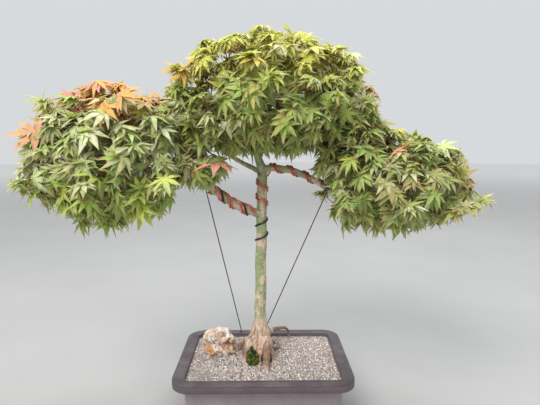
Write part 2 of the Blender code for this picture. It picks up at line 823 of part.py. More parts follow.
def guy_wire(name, line, foot_x):
    """The loop ends where the wire already runs towards its foot, so it leaves the branch smoothly."""
    loop_at = WOUND_LENGTH + GUY_LOOP_OFFSET
    hole_top = Vector((foot_x, FLANGE_MIDDLE, POT_HEIGHT + 6 * MM))
    centre, _, side, other = station(*line, loop_at)
    towards = hole_top - centre
    leaving = math.degrees(math.atan2(towards.dot(other), towards.dot(side))) - 90
    loop_pitch = 3.6 * GUY_RADIUS
    loop = wind(*line, loop_at, loop_at + GUY_TURNS * loop_pitch, loop_pitch, leaving - 360 * GUY_TURNS)
    lift_clear(loop, wood_surface, GUY_RADIUS + WIRE_CLEARANCE)
    hook_depth = POT_HEIGHT - POT_WALL - GUY_RADIUS - 2 * GAP
    start = loop[-1]
    steps = 6
    run = [start.lerp(hole_top, step / steps) for step in range(1, steps)]
    foot = [
        hole_top,
        Vector((foot_x, FLANGE_MIDDLE, POT_HEIGHT)),
        Vector((foot_x, FLANGE_MIDDLE, hook_depth + 1 * MM)),
        Vector((foot_x + 1 * MM, FLANGE_MIDDLE, hook_depth)),
        Vector((foot_x + GUY_HOOK_LENGTH, FLANGE_MIDDLE, hook_depth)),
    ]
    return make_wire(name, loop + run + foot, GUY_WIRE, GUY_RADIUS, 6)


guy_wire("guy_wire_left", left_line, GUY_FOOT_X[0])
guy_wire("guy_wire_right", right_line, GUY_FOOT_X[1])


# ---------------------------------------------------------------- pot, soil, rock and moss

make_pot()
make_screen()


def make_soil():
    bottom = POT_FLOOR + SCREEN_THICKNESS + 2 * GAP
    shape = loft(bmesh.new(), [inside_of_pot(bottom), inside_of_pot(SOIL_TOP)])
    soil = add_object("soil", shape, GRIT)
    cut_or_join(soil, root_cutters, "DIFFERENCE", "root_sockets")
    return soil


make_soil()


def rugged_lump(name, centre, size, detail, roughness, seed, material):
    """A natural lump with a flat underside, cut square at its seat."""
    shape = bmesh.new()
    bmesh.ops.create_icosphere(shape, subdivisions=detail, radius=1.0)
    for vertex in shape.verts:
        direction = vertex.co.normalized()
        broad = noise(direction * 1.9 + Vector((seed, 0, 0)))
        fine = noise(direction * 4.3 + Vector((0, seed, 0)))
        bump = broad + 0.5 * fine
        reach = 1 + roughness * bump
        vertex.co = Vector((direction.x * size[0], direction.y * size[1], direction.z * size[2])) * reach
        vertex.co += Vector(centre)
    floor = Vector((0, 0, SOIL_TOP + GAP))
    cut = bmesh.ops.bisect_plane(
        shape, geom=shape.verts[:] + shape.edges[:] + shape.faces[:], plane_co=floor, plane_no=(0, 0, -1),
        clear_outer=True,
    )
    rim = [part for part in cut["geom_cut"] if isinstance(part, bmesh.types.BMEdge)]
    bmesh.ops.contextual_create(shape, geom=rim)
    return add_object(name, shape, material)


ROCK_PLACE = (TRUNK_X - 73 * MM, TRUNK_Y + 8 * MM, SOIL_TOP + 0.42 * ROCK_HEIGHT)
rock_size = (ROCK_LENGTH / 2, ROCK_DEPTH / 2, 0.58 * ROCK_HEIGHT)
rugged_lump("rock", ROCK_PLACE, rock_size, 3, 0.22, 3.0, ROCK_STONE)

MOSS_PLACE = (TRUNK_X - 11 * MM, TRUNK_Y - 32 * MM, SOIL_TOP)
moss_size = (MOSS_WIDTH / 2, MOSS_LENGTH / 2, MOSS_HEIGHT)
moss = rugged_lump("moss", MOSS_PLACE, moss_size, 2, 0.12, 5.0, MOSS)
cut_or_join(moss, root_cutters, "DIFFERENCE", "root_hollows")
keep_largest_shell(moss)
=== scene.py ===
# %% [markdown]
# # A wired maple bonsai
#
# This lesson dresses a simple solid model of a bonsai in a training pot: bark, leaves, wires, grit,
# moss and a rock. Every piece goes where the solid model already has it, so nothing is fitted by eye.

# %% Load the frame
import json
import math
import random

import bmesh
import bpy
import numpy as np
from mathutils import Matrix, Vector, noise
from mathutils.bvhtree import BVHTree

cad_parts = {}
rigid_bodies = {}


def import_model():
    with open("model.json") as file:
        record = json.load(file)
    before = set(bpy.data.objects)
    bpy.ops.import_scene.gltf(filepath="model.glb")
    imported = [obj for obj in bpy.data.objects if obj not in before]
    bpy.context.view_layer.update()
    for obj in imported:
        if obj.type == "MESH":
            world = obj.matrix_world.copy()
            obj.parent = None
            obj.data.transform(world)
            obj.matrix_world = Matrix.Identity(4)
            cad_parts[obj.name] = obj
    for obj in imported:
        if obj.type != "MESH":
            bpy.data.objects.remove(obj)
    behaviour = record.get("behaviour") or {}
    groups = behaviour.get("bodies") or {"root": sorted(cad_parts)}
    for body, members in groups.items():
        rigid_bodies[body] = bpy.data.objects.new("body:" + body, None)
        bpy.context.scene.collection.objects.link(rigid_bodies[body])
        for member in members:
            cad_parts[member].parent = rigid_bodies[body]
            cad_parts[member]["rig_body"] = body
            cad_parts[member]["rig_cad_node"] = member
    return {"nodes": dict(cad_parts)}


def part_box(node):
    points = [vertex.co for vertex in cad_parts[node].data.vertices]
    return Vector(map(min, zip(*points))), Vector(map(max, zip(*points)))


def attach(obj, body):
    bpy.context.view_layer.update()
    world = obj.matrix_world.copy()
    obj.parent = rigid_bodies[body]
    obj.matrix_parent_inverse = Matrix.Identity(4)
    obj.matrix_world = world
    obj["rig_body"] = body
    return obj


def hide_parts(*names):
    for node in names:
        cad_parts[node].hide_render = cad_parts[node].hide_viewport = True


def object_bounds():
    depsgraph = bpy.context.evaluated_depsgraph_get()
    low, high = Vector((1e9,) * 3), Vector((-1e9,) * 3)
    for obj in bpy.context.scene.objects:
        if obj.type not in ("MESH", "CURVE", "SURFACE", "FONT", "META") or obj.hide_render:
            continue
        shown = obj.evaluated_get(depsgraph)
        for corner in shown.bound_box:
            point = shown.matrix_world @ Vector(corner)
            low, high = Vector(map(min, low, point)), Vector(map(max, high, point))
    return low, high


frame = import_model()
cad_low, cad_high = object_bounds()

MM = 0.001
UP = Vector((0, 0, 1))
nodes = frame["nodes"]
print("solid model box", cad_low, cad_high)

# %% [markdown]
# Blender's operators act on whatever is selected. These helpers pick one object, open it for editing,
# and put its finished shape into its mesh, so that every object rests at the origin.


# %% Selection helpers
def pick(obj):
    bpy.ops.object.select_all(action="DESELECT")
    obj.select_set(True)
    bpy.context.view_layer.objects.active = obj
    return obj


def open_mesh(obj):
    pick(obj)
    bpy.ops.object.mode_set(mode="EDIT")


def close_mesh():
    bpy.ops.object.mode_set(mode="OBJECT")


def begin(name, primitive, **settings):
    """Adds a primitive with nothing else selected, and names it."""
    bpy.ops.object.select_all(action="DESELECT")
    primitive(**settings)
    bpy.context.object.name = name
    return bpy.context.object


def put_in_scene(name, data):
    made = bpy.data.objects.new(name, data)
    bpy.context.scene.collection.objects.link(made)
    return made


def extrude(move):
    bpy.ops.mesh.extrude_region_move(TRANSFORM_OT_translate={"value": move})


def rest_at_origin(obj):
    pick(obj)
    bpy.ops.object.transform_apply(location=True, rotation=True, scale=True)
    return obj


def apply_all(obj):
    pick(obj)
    for modifier in list(obj.modifiers):
        bpy.ops.object.modifier_apply(modifier=modifier.name)
    return obj


def copy_of_node(node, name):
    """A free copy of a solid, with its loose triangles merged into one skin."""
    made = nodes[node].copy()
    made.data = nodes[node].data.copy()
    made.name = name
    made.parent = None
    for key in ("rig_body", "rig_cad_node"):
        if key in made:
            del made[key]
    bpy.context.scene.collection.objects.link(made)
    made.data.materials.clear()
    open_mesh(made)
    bpy.ops.mesh.select_all(action="SELECT")
    bpy.ops.mesh.remove_doubles(threshold=1e-5)
    close_mesh()
    return made


def fine_skin(node, name, voxel, rounds):
    """A copy of a solid that is cut into small even faces, and smoothed for some rounds."""
    skin = copy_of_node(node, name)
    remesh = skin.modifiers.new("even_faces", "REMESH")
    remesh.mode = "VOXEL"
    remesh.voxel_size = voxel
    skin.modifiers.new("soften", "SMOOTH").iterations = rounds
    return apply_all(skin)


def put_points(mesh, points, **marks):
    """Writes moved points back, and marks each one with named values for the material."""
    mesh.vertices.foreach_set("co", points.ravel())
    for name, values in marks.items():
        mesh.attributes.new(name, "FLOAT", "POINT").data.foreach_set("value", values)
    mesh.update()


def hand_over(obj, material, slot, *stands_for):
    """Gives a finished piece its material, lets it ride on the part, and hides what it stands for."""
    obj.data.materials.clear()
    obj.data.materials.append(material)
    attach(obj, "root")
    if stands_for:
        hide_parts(*stands_for)
    print(obj.name, len(obj.data.polygons), "faces")


# %% [markdown]
# A material is a small network of nodes. This helper adds one node, sets its plain values and links the
# sockets that other nodes feed, so that each network reads from top to bottom.


# %% Material helpers
def feed(tree, socket, value):
    """Links a socket to what varies over the surface, or sets a plain number or colour on it."""
    if isinstance(value, bpy.types.NodeSocket):
        tree.links.new(value, socket)
    else:
        socket.default_value = (*value, 1.0) if socket.type == "RGBA" else value


def add(tree, kind, inputs=None, **settings):
    made = tree.nodes.new(kind)
    for key, value in settings.items():
        setattr(made, key, value)
    for key, value in (inputs or {}).items():
        feed(tree, made.inputs[key], value)
    return made


def new_material(name):
    made = bpy.data.materials.new(name)
    made.use_nodes = True
    return made, made.node_tree, made.node_tree.nodes["Principled BSDF"]


def cover(tree, shader, colour, roughness, normal=None):
    """Feeds the shader's sockets for colour, roughness and normal."""
    for name, value in (("Base Color", colour), ("Roughness", roughness), ("Normal", normal)):
        if value is not None:
            feed(tree, shader.inputs[name], value)


def ramp(tree, factor, stops, mode="LINEAR"):
    """A colour ramp from (position, colour) stops."""
    made = add(tree, "ShaderNodeValToRGB", {"Fac": factor})
    made.color_ramp.interpolation = mode
    elements = made.color_ramp.elements
    while len(elements) < len(stops):
        elements.new(0.5)
    for element, (position, colour) in zip(elements, stops):
        element.position = position
        element.color = (*colour, 1.0)
    return made.outputs["Color"]


def mix(tree, factor, first, second, blend="MIX"):
    inputs = {0: factor, 6: first, 7: second}
    return add(tree, "ShaderNodeMix", inputs, data_type="RGBA", blend_type=blend).outputs[2]


def math_node(tree, operation, first, second, clamp=False):
    return add(tree, "ShaderNodeMath", {0: first, 1: second}, operation=operation, use_clamp=clamp).outputs[0]


def times(tree, first, second, clamp=False):
    return math_node(tree, "MULTIPLY", first, second, clamp)


def plus(tree, first, second):
    return math_node(tree, "ADD", first, second)


def band(tree, value, low, high, out_low=0.0, out_high=1.0):
    """Maps a value smoothly from one range to another."""
    made = add(
        tree,
        "ShaderNodeMapRange",
        {"Value": value, "From Min": low, "From Max": high, "To Min": out_low, "To Max": out_high},
        interpolation_type="SMOOTHSTEP",
    )
    return made.outputs["Result"]


def object_point(tree, scale=(1, 1, 1)):
    """Object coordinates, stretched by a scale."""
    coords = add(tree, "ShaderNodeTexCoord").outputs["Object"]
    return add(tree, "ShaderNodeMapping", {"Vector": coords, "Scale": scale}).outputs["Vector"]


def noise_at(tree, point, scale, detail=3.0, rough=0.55):
    inputs = {"Vector": point, "Scale": scale, "Detail": detail, "Roughness": rough}
    return add(tree, "ShaderNodeTexNoise", inputs).outputs["Fac"]


def bump(tree, height, distance, strength=1.0):
    inputs = {"Height": height, "Distance": distance, "Strength": strength}
    return add(tree, "ShaderNodeBump", inputs).outputs["Normal"]


def separate_xyz(tree, vector):
    return add(tree, "ShaderNodeSeparateXYZ", {"Vector": vector}).outputs


def attribute(tree, name):
    return add(tree, "ShaderNodeAttribute", attribute_name=name, attribute_type="GEOMETRY").outputs


def split_colour(tree, name):
    """The red, green, blue and alpha of a colour attribute, each of which says something of its own."""
    found = attribute(tree, name)
    parts = add(tree, "ShaderNodeSeparateColor", {"Color": found["Color"]}).outputs
    return parts["Red"], parts["Green"], parts["Blue"], found["Alpha"]


def grey(tree, value):
    inputs = {channel: value for channel in ("Red", "Green", "Blue")}
    return add(tree, "ShaderNodeCombineColor", inputs).outputs["Color"]


# %% [markdown]
# Dust settles on everything in a pot that stands outdoors, and fine grain breaks up every surface. Both
# are node groups: built once here, and placed in each material with its own values.


# %% Shared effects: dust and grain
def build_group(name, inputs, outputs):
    group = bpy.data.node_groups.new(name, "ShaderNodeTree")
    for socket_name, kind, default in inputs:
        socket = group.interface.new_socket(name=socket_name, in_out="INPUT", socket_type=kind)
        if default is not None:
            socket.default_value = default
    for socket_name, kind in outputs:
        group.interface.new_socket(name=socket_name, in_out="OUTPUT", socket_type=kind)
    return group, group.nodes.new("NodeGroupInput").outputs, group.nodes.new("NodeGroupOutput")


def build_dust():
    group, given, result = build_group(
        "settled_dust",
        (
            ("Color", "NodeSocketColor", None),
            ("Amount", "NodeSocketFloat", 0.5),
            ("Scale", "NodeSocketFloat", 60.0),
        ),
        (("Color", "NodeSocketColor"), ("Mask", "NodeSocketFloat")),
    )
    facing = separate_xyz(group, add(group, "ShaderNodeNewGeometry").outputs["Normal"])["Z"]
    patches = noise_at(group, object_point(group), given["Scale"], 5.0, 0.65)
    upward = band(group, facing, 0.1, 0.95)
    mask = times(group, upward, band(group, patches, 0.35, 0.7))
    mask = times(group, mask, given["Amount"], clamp=True)
    colour = mix(group, mask, given["Color"], (0.42, 0.37, 0.31))
    group.links.new(colour, result.inputs["Color"])
    group.links.new(mask, result.inputs["Mask"])
    return group


def build_grain():
    group, given, result = build_group(
        "fine_grain",
        (
            ("Color", "NodeSocketColor", None),
            ("Scale", "NodeSocketFloat", 400.0),
            ("Contrast", "NodeSocketFloat", 0.2),
        ),
        (("Color", "NodeSocketColor"), ("Height", "NodeSocketFloat")),
    )
    speck = noise_at(group, object_point(group), given["Scale"], 4.0, 0.6)
    dark = math_node(group, "SUBTRACT", 1.0, given["Contrast"])
    light = plus(group, 1.0, given["Contrast"])
    made = add(
        group,
        "ShaderNodeMapRange",
        {"Value": speck, "From Min": 0.3, "From Max": 0.7, "To Min": dark, "To Max": light},
    )
    colour = mix(group, 1.0, given["Color"], grey(group, made.outputs["Result"]), "MULTIPLY")
    group.links.new(colour, result.inputs["Color"])
    group.links.new(speck, result.inputs["Height"])
    return group


DUST = build_dust()
GRAIN = build_grain()


def use_group(tree, group, **values):
    return add(tree, "ShaderNodeGroup", values, node_tree=group).outputs


# %% [markdown]
# Leaves, grains and moss repeat hundreds of times. One is modelled, and this helper lays copies
# of it: it moves each copy's points by a matrix, and gives each copy its own tint for the material.


# %% A helper that lays many copies
def shape_of(obj):
    """A modelled shape as arrays: its points, its faces, and what its corners say for the material."""
    mesh = obj.data
    points = np.empty(len(mesh.vertices) * 3)
    mesh.vertices.foreach_get("co", points)
    faces = [tuple(polygon.vertices) for polygon in mesh.polygons]
    blade = np.zeros(len(mesh.loops) * 4)
    if "blade" in mesh.attributes:
        mesh.attributes["blade"].data.foreach_get("color", blade)
    return points.reshape(-1, 3), faces, blade


def lay_copies(name, shapes, placements):
    """One mesh of many copies; a placement is (shape number, matrix, tint)."""
    points, faces, blades, tints = [], [], [], []
    start = 0
    for number, matrix, tint in placements:
        own_points, own_faces, own_blade = shapes[number]
        turn = np.array(matrix)
        points.append(own_points @ turn[:3, :3].T + turn[:3, 3])
        faces += [tuple(corner + start for corner in face) for face in own_faces]
        blades.append(own_blade)
        tints.append(np.tile(tint, (len(own_points), 1)))
        start += len(own_points)
    mesh = bpy.data.meshes.new(name)
    mesh.from_pydata(np.concatenate(points).tolist(), [], faces)
    blade = mesh.attributes.new("blade", "FLOAT_COLOR", "CORNER")
    blade.data.foreach_set("color", np.concatenate(blades))
    colours = mesh.color_attributes.new("tint", "FLOAT_COLOR", "POINT")
    colours.data.foreach_set("color", np.concatenate(tints).ravel())
    mesh.update()
    print(name, "is", len(placements), "copies,", len(faces), "faces")
    return put_in_scene(name, mesh)


def leaf_matrix(place, direction, facing, size):
    """Stands a shape's +Y along a direction and its +Z as near as can be to a facing."""
    along = direction.normalized()
    across = along.cross(facing).normalized()
    over = across.cross(along)
    turn = Matrix((across, along, over)).transposed().to_4x4()
    return Matrix.Translation(place) @ turn @ Matrix.Scale(size, 4)


# %% [markdown]
# The floor is one sheet, grey by the pot and painted paler further out, a painted brightening that lets its
# far part fade into the pale room. The light is soft from all round with one broad lamp above the front.
# The camera looks slightly down on the pot from its front, as one looks at a bonsai on a bench.


# %% Floor, light and camera
LAMP_TARGET = Vector((0, 0, 0.35))
CAMERA_PLACE = (0.0016, -0.7284, 0.4380)
CAMERA_TILT = math.radians(83.17)
CAMERA_TURN = math.radians(-0.74)
CAMERA_LENS = 29.93


def lay_floor():
    floor = begin("floor", bpy.ops.mesh.primitive_circle_add, vertices=96, radius=14, fill_type="NGON")
    material, tree, shader = new_material("pale_floor")
    point = object_point(tree)
    cloud = noise_at(tree, point, 3.0, 3.0)
    near = ramp(tree, cloud, ((0.3, (0.37, 0.367, 0.36)), (0.7, (0.40, 0.397, 0.39))))
    reach = add(tree, "ShaderNodeVectorMath", {0: point}, operation="LENGTH").outputs["Value"]
    # Painted light: the floor grows paler with distance, so that its far part, seen at a grazing angle, matches the
    # pale room at the horizon.
    colour = mix(tree, band(tree, reach, 0.5, 9.0), near, (0.88, 0.875, 0.865))
    cover(tree, shader, colour, 0.8)
    floor.data.materials.append(material)


def add_lamp(name, place, size, power, colour):
    bpy.ops.object.light_add(type="AREA", location=place)
    lamp = bpy.context.object
    lamp.name = name
    lamp.data.shape = "DISK"
    lamp.data.size = size
    lamp.data.energy = power
    lamp.data.color = colour
    lamp.rotation_euler = (LAMP_TARGET - Vector(place)).to_track_quat("-Z", "Y").to_euler()


def light_studio():
    add_lamp("key_lamp", (-0.9, -1.7, 2.3), 1.6, 68, (1.0, 0.98, 0.95))
    add_lamp("top_lamp", (0.5, 0.9, 2.5), 1.8, 46, (0.95, 0.98, 1.0))
    world = bpy.data.worlds.new("pale_room")
    world.use_nodes = True
    sky = world.node_tree.nodes["Background"].inputs
    sky["Color"].default_value = (0.83, 0.855, 0.88, 1)
    sky["Strength"].default_value = 0.82
    bpy.context.scene.world = world
    bpy.context.scene.view_settings.view_transform = "Standard"


def place_camera():
    bpy.ops.object.camera_add(location=CAMERA_PLACE)
    camera = bpy.context.object
    camera.rotation_euler = (CAMERA_TILT, 0, CAMERA_TURN)
    camera.data.sensor_width = 36
    camera.data.lens = CAMERA_LENS
    camera.data.clip_start = 0.01
    bpy.context.scene.camera = camera


lay_floor()
light_studio()
place_camera()
print("camera at", tuple(bpy.context.scene.camera.location))

# %% [markdown]
# The tree's limbs follow smooth routes, and the wires wind round them. The routes are drawn again here by
# the same rows, so that the wires and the bark know where each limb's middle runs.

# %% The routes of trunk and branches
soil_low, soil_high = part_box("soil")
SOIL_TOP = soil_high.z
TRUNK_FOOT = Vector((-6, 12, 0)) * MM + UP * SOIL_TOP
LEFT_FORK_HEIGHT = 245 * MM
RIGHT_FORK_HEIGHT = 319 * MM
ROOT_BALL_DEPTH = 27 * MM
LIMB_DROP = 7 * MM
GIRTH = {"trunk": 10 * MM, "left": 7 * MM, "right": 6 * MM, "limb": 6 * MM}
ROUTES = {
    "trunk": (
        (0, 2, -27, 0.55), (0, 1, -12, 0.75), (0, 0, 3, 0.95), (0, 0, 17, 1.22), (0, 0, 30, 1.42),
        (0, 0, 41, 1.38), (0, 0, 52, 1.22), (1, 0, 64, 1.06), (0, 0, 85, 1.0), (2, 0, 120, 0.98),
        (1, 1, 160, 0.96), (3, 0, 200, 0.93), (3, 0, 245, 0.90), (4, 1, 283, 0.86), (4, 0, 319, 0.80),
        (-2, 1, 336, 0.66), (-6, 4, 362, 0.56), (-3, 8, 394, 0.47), (8, 10, 428, 0.38),
        (19, 7, 460, 0.29), (26, 5, 486, 0.22),
    ),
    "left": (
        (0, 0, 0, 1.10), (-11, -8, 4, 1.06), (-26, -18, 11, 1.02), (-44, -30, 21, 0.97),
        (-59, -39, 33, 0.92), (-75, -48, 45, 0.87), (-95, -56, 58, 0.80), (-132, -61, 68, 0.68),
        (-184, -59, 78, 0.56), (-232, -54, 86, 0.44), (-272, -49, 90, 0.34),
    ),
    "right": (
        (0, 0, 0, 1.08), (17, -2, 3, 1.03), (35, -5, 1, 0.98), (55, -9, -3, 0.93), (75, -12, -12, 0.88),
        (93, -16, -21, 0.84), (109, -20, -34, 0.80), (127, -22, -46, 0.76), (144, -19, -55, 0.70),
        (168, -12, -58, 0.62), (206, -8, -54, 0.52), (248, -6, -50, 0.42), (284, -6, -48, 0.34),
    ),
    "limb": (
        (0, 0, 0, 0.80), (-13, 6, 8, 0.76), (-34, 14, 18, 0.68), (-58, 20, 32, 0.56), (-84, 22, 50, 0.44),
    ),
}


def catmull_rom(values, position):
    """The smooth curve through the values, read at a position counted in values."""
    last = len(values) - 1
    index = min(int(position), last - 1)
    share = position - index
    before, first = values[max(index - 1, 0)], values[index]
    second, after = values[index + 1], values[min(index + 2, last)]
    return 0.5 * (
        2 * first
        + (second - before) * share
        + (2 * before - 5 * first + 4 * second - after) * share**2
        + (3 * first - before - 3 * second + after) * share**3
    )


def line_of(name, start):
    """(points, radii) of a limb's middle, from the point that it starts at, with two steps for each row."""
    rows = ROUTES[name]
    points = [start + Vector(row[:3]) * MM for row in rows]
    radii = [row[3] * GIRTH[name] for row in rows]
    places = [step / 2 for step in range(2 * len(rows) - 1)]
    return [catmull_rom(points, place) for place in places], [catmull_rom(radii, place) for place in places]


def point_at_height(points, height):
    for lower, upper in zip(points, points[1:]):
        if lower.z <= height <= upper.z:
            return lower.lerp(upper, (height - lower.z) / (upper.z - lower.z))
    return points[-1].copy()


drawn_trunk = [TRUNK_FOOT + Vector(row[:3]) * MM for row in ROUTES["trunk"]]
left_fork = point_at_height(drawn_trunk, SOIL_TOP + LEFT_FORK_HEIGHT)
right_fork = point_at_height(drawn_trunk, SOIL_TOP + RIGHT_FORK_HEIGHT)
limb_fork = point_at_height(drawn_trunk, SOIL_TOP + RIGHT_FORK_HEIGHT - LIMB_DROP)
trunk_line = line_of("trunk", TRUNK_FOOT)
left_line = line_of("left", left_fork)
right_line = line_of("right", right_fork)
limb_line = line_of("limb", limb_fork)
print("forks at", left_fork[:], right_fork[:])

# %% [markdown]
# The wood is one living skin from the roots to the twigs. It could be sculpted from scratch; instead a copy
# of the solid is turned into small even faces with Remesh, smoothed until its flat sides are gone, and then
# its points are pushed in and out: ridges run down the root flare, rings and knots cross the trunk.


# %% Wood skin
FLARE_TOP = SOIL_TOP + 63 * MM
WAIST_PUSH = 3.5


def nearest_on_lines(points, lines):
    """For each point: its distance to the nearest limb's middle, and the limb's radius there."""
    best = np.full(len(points), 1e9)
    radius = np.zeros(len(points))
    for line, radii in lines:
        for (first, second), (thick, thin) in zip(zip(line, line[1:]), zip(radii, radii[1:])):
            start = np.array(first)
            step = np.array(second) - start
            share = np.clip((points - start) @ step / (step @ step), 0, 1)
            gap = np.linalg.norm(points - start - share[:, None] * step, axis=1)
            nearer = gap < best
            best = np.where(nearer, gap, best)
            radius = np.where(nearer, thick + (thin - thick) * share, radius)
    return best, radius


def points_and_normals(mesh):
    points = np.empty(len(mesh.vertices) * 3)
    normals = np.empty(len(mesh.vertices) * 3)
    mesh.vertices.foreach_get("co", points)
    mesh.vertices.foreach_get("normal", normals)
    return points.reshape(-1, 3), normals.reshape(-1, 3)


def smooth_step(values, low, high):
    share = np.clip((values - low) / (high - low), 0, 1)
    return share * share * (3 - 2 * share)


def noise_field(points, scale, seed):
    stretched = points * np.array(scale) + seed
    return np.array([noise.noise(Vector(point)) for point in stretched])


def grow_wood():
    wood = fine_skin("trunk_and_branches", "wood", 1.15 * MM, 6)
    points, normals = points_and_normals(wood.data)
    gap, radius = nearest_on_lines(points, (trunk_line, left_line, right_line, limb_line))
    thin = smooth_step(gap - radius, 0.8 * MM, 3.0 * MM)
    height = points[:, 2]
    near_foot = 1 - smooth_step(height, FLARE_TOP - 6 * MM, FLARE_TOP + 8 * MM)
    thin *= 1 - near_foot
    ridges = noise_field(points, (260, 260, 38), 3.1)
    fine_ridges = noise_field(points, (620, 620, 90), 8.7)
    rings = noise_field(points, (55, 55, 300), 21.0)
    lumps = noise_field(points, 90, 5.5)
    on_trunk = (1 - near_foot) * (1 - thin)
    push = near_foot * (1.5 * ridges + 0.6 * fine_ridges) * MM
    push += on_trunk * (0.30 * rings + 0.40 * lumps) * MM
    push += thin * 0.25 * lumps * MM
    side_roots = near_foot * smooth_step(height, SOIL_TOP + 2 * MM, SOIL_TOP + 9 * MM)
    off_axis = np.hypot(points[:, 0] - TRUNK_FOOT.x, points[:, 1] - TRUNK_FOOT.y)
    thin = np.maximum(thin, 0.85 * side_roots * smooth_step(off_axis, 25 * MM, 33 * MM))
    waist = smooth_step(height, SOIL_TOP + 8 * MM, SOIL_TOP + 24 * MM)
    waist *= 1 - smooth_step(height, SOIL_TOP + 34 * MM, FLARE_TOP)
    waist *= 1 - smooth_step(off_axis, 20 * MM, 34 * MM)
    push += WAIST_PUSH * MM * waist
    points += normals * push[:, None]
    put_points(wood.data, points, thin=thin, hollow=push / MM - WAIST_PUSH * waist)
    pick(wood)
    bpy.ops.object.shade_smooth()
    return wood


wood = grow_wood()

# %% [markdown]
# A young maple's bark is smooth and green with tan patches, crossed by fine stretch lines and dotted with
# pale pores. At the foot it is older: bare, tan and wrinkled. Twigs and thin roots are reddish brown. One
# material does it all, told apart by height and by the attribute that marks thin wood.


# %% Bark material
def make_bark():
    material, tree, shader = new_material("bark")
    point = object_point(tree)
    height = separate_xyz(tree, point)["Z"]
    thin = attribute(tree, "thin")["Fac"]
    hollow = attribute(tree, "hollow")["Fac"]

    patches = noise_at(tree, object_point(tree, (1, 1, 0.62)), 62, 5.0, 0.62)
    green = ramp(
        tree,
        noise_at(tree, object_point(tree, (1, 1, 2.4)), 150, 4.0, 0.6),
        ((0.30, (0.22, 0.28, 0.115)), (0.55, (0.35, 0.40, 0.20)), (0.75, (0.54, 0.55, 0.34))),
    )
    tan = ramp(
        tree,
        noise_at(tree, object_point(tree, (1, 1, 1.6)), 210, 5.0, 0.6),
        ((0.30, (0.48, 0.35, 0.24)), (0.55, (0.72, 0.57, 0.43)), (0.75, (0.86, 0.76, 0.62))),
    )
    colour = mix(tree, band(tree, patches, 0.48, 0.58), green, tan)
    lines = noise_at(tree, object_point(tree, (0.35, 0.35, 6.0)), 170, 3.0, 0.5)
    colour = mix(tree, band(tree, lines, 0.60, 0.70, 0, 0.50), colour, (0.19, 0.16, 0.09))

    foot = ramp(
        tree,
        noise_at(tree, object_point(tree, (1, 1, 0.30)), 260, 6.0, 0.65),
        ((0.28, (0.25, 0.145, 0.10)), (0.50, (0.60, 0.44, 0.32)), (0.72, (0.82, 0.69, 0.55))),
    )
    # Painted shade: the deepest creases between the flare's ridges are darkened, where shade falls.
    painted_crease_shade = band(tree, hollow, -0.75, -0.1, 1.0, 0.0)
    foot = mix(tree, times(tree, painted_crease_shade, 0.7), foot, (0.13, 0.068, 0.048))
    blush = band(tree, noise_at(tree, point, 48, 3.0), 0.52, 0.66, 0, 0.55)
    foot = mix(tree, blush, foot, (0.56, 0.30, 0.22))
    uneven = times(tree, noise_at(tree, point, 70, 3.0), 16 * MM)
    low = plus(tree, height, uneven)
    above = band(tree, low, FLARE_TOP + 4 * MM, FLARE_TOP + 16 * MM)
    colour = mix(tree, above, foot, colour)

    twig = ramp(
        tree,
        noise_at(tree, point, 120, 3.0),
        ((0.35, (0.11, 0.050, 0.030)), (0.65, (0.30, 0.16, 0.085))),
    )
    colour = mix(tree, thin, colour, twig)
    pores = add(tree, "ShaderNodeTexVoronoi", {"Vector": object_point(tree, (1, 1, 1.5)), "Scale": 330.0})
    pore = band(tree, pores.outputs["Distance"], 0.12, 0.20, 0.8, 0.0)
    colour = mix(tree, pore, colour, (0.66, 0.53, 0.40))
    grain = use_group(tree, GRAIN, Color=colour, Scale=900.0, Contrast=0.16)
    ups = plus(tree, plus(tree, times(tree, lines, 0.6), grain["Height"]), pore)
    rough = band(tree, patches, 0.4, 0.65, 0.48, 0.68)
    cover(tree, shader, grain["Color"], rough, bump(tree, ups, 0.35 * MM, 0.7))
    return material


BARK = make_bark()
hand_over(wood, BARK, "bark", "trunk_and_branches")

# %% [markdown]
# Bonsai wire is soft annealed wire, wound at a slant so that the branch can be bent and holds its bend. Each
# wire here is a curve with a round bevel. Its points wind round the limb's middle, and any point that would
# sink into the bark is lifted out of it, so the wire lies on the skin and not in it.


# %% Wire routes
FRONT = Vector((0, -1, 0))
WIRE_RADIUS = 1.5 * MM
GUY_RADIUS = 0.9 * MM
WIRE_LANE = 4.9 * MM
WOUND_LENGTH = 104 * MM
LEFT_COIL_START = 13.5 * MM
RIGHT_COIL_START = 12.5 * MM
LEFT_PITCH = 46 * MM
RIGHT_PITCH = 27 * MM
TRUNK_PITCH = 24 * MM
SAMPLES_PER_TURN = 24
BRIDGE_STEP = 2 * MM
SEAT_DEPTH = 0.94
BLACK_TURNS = 1.9
BLACK_BELOW_FORK = 46 * MM
PAIR_ABOVE_FORK = 12 * MM
PAIR_CLIMB = 50 * MM

wood_skin = BVHTree.FromObject(wood, bpy.context.evaluated_depsgraph_get())


def station(line, along):
    """(middle, radius, side, other) of a limb at a length along it; side faces the front."""
    points, radii = line
    index = 0
    while index < len(points) - 2 and (points[index + 1] - points[index]).length < along:
        along -= (points[index + 1] - points[index]).length
        index += 1
    share = along / (points[index + 1] - points[index]).length
    tangent = (points[index + 1] - points[index]).normalized()
    side = (FRONT - tangent * FRONT.dot(tangent)).normalized()
    radius = radii[index] + (radii[index + 1] - radii[index]) * share
    return points[index].lerp(points[index + 1], share), radius, side, tangent.cross(side)


def wind(line, start, end, pitch, first_angle, radius):
    """A coil round a limb; angles start at the front, and a negative pitch turns the other way."""
    count = max(int(SAMPLES_PER_TURN * (end - start) / abs(pitch)), 2)
    found = []
    for step in range(count + 1):
        along = start + (end - start) * step / count
        middle, thick, side, other = station(line, along)
        angle = math.radians(first_angle) + 2 * math.pi * (along - start) / pitch
        reach = side * math.cos(angle) + other * math.sin(angle)
        found.append(middle + reach * (thick + radius))
    return found


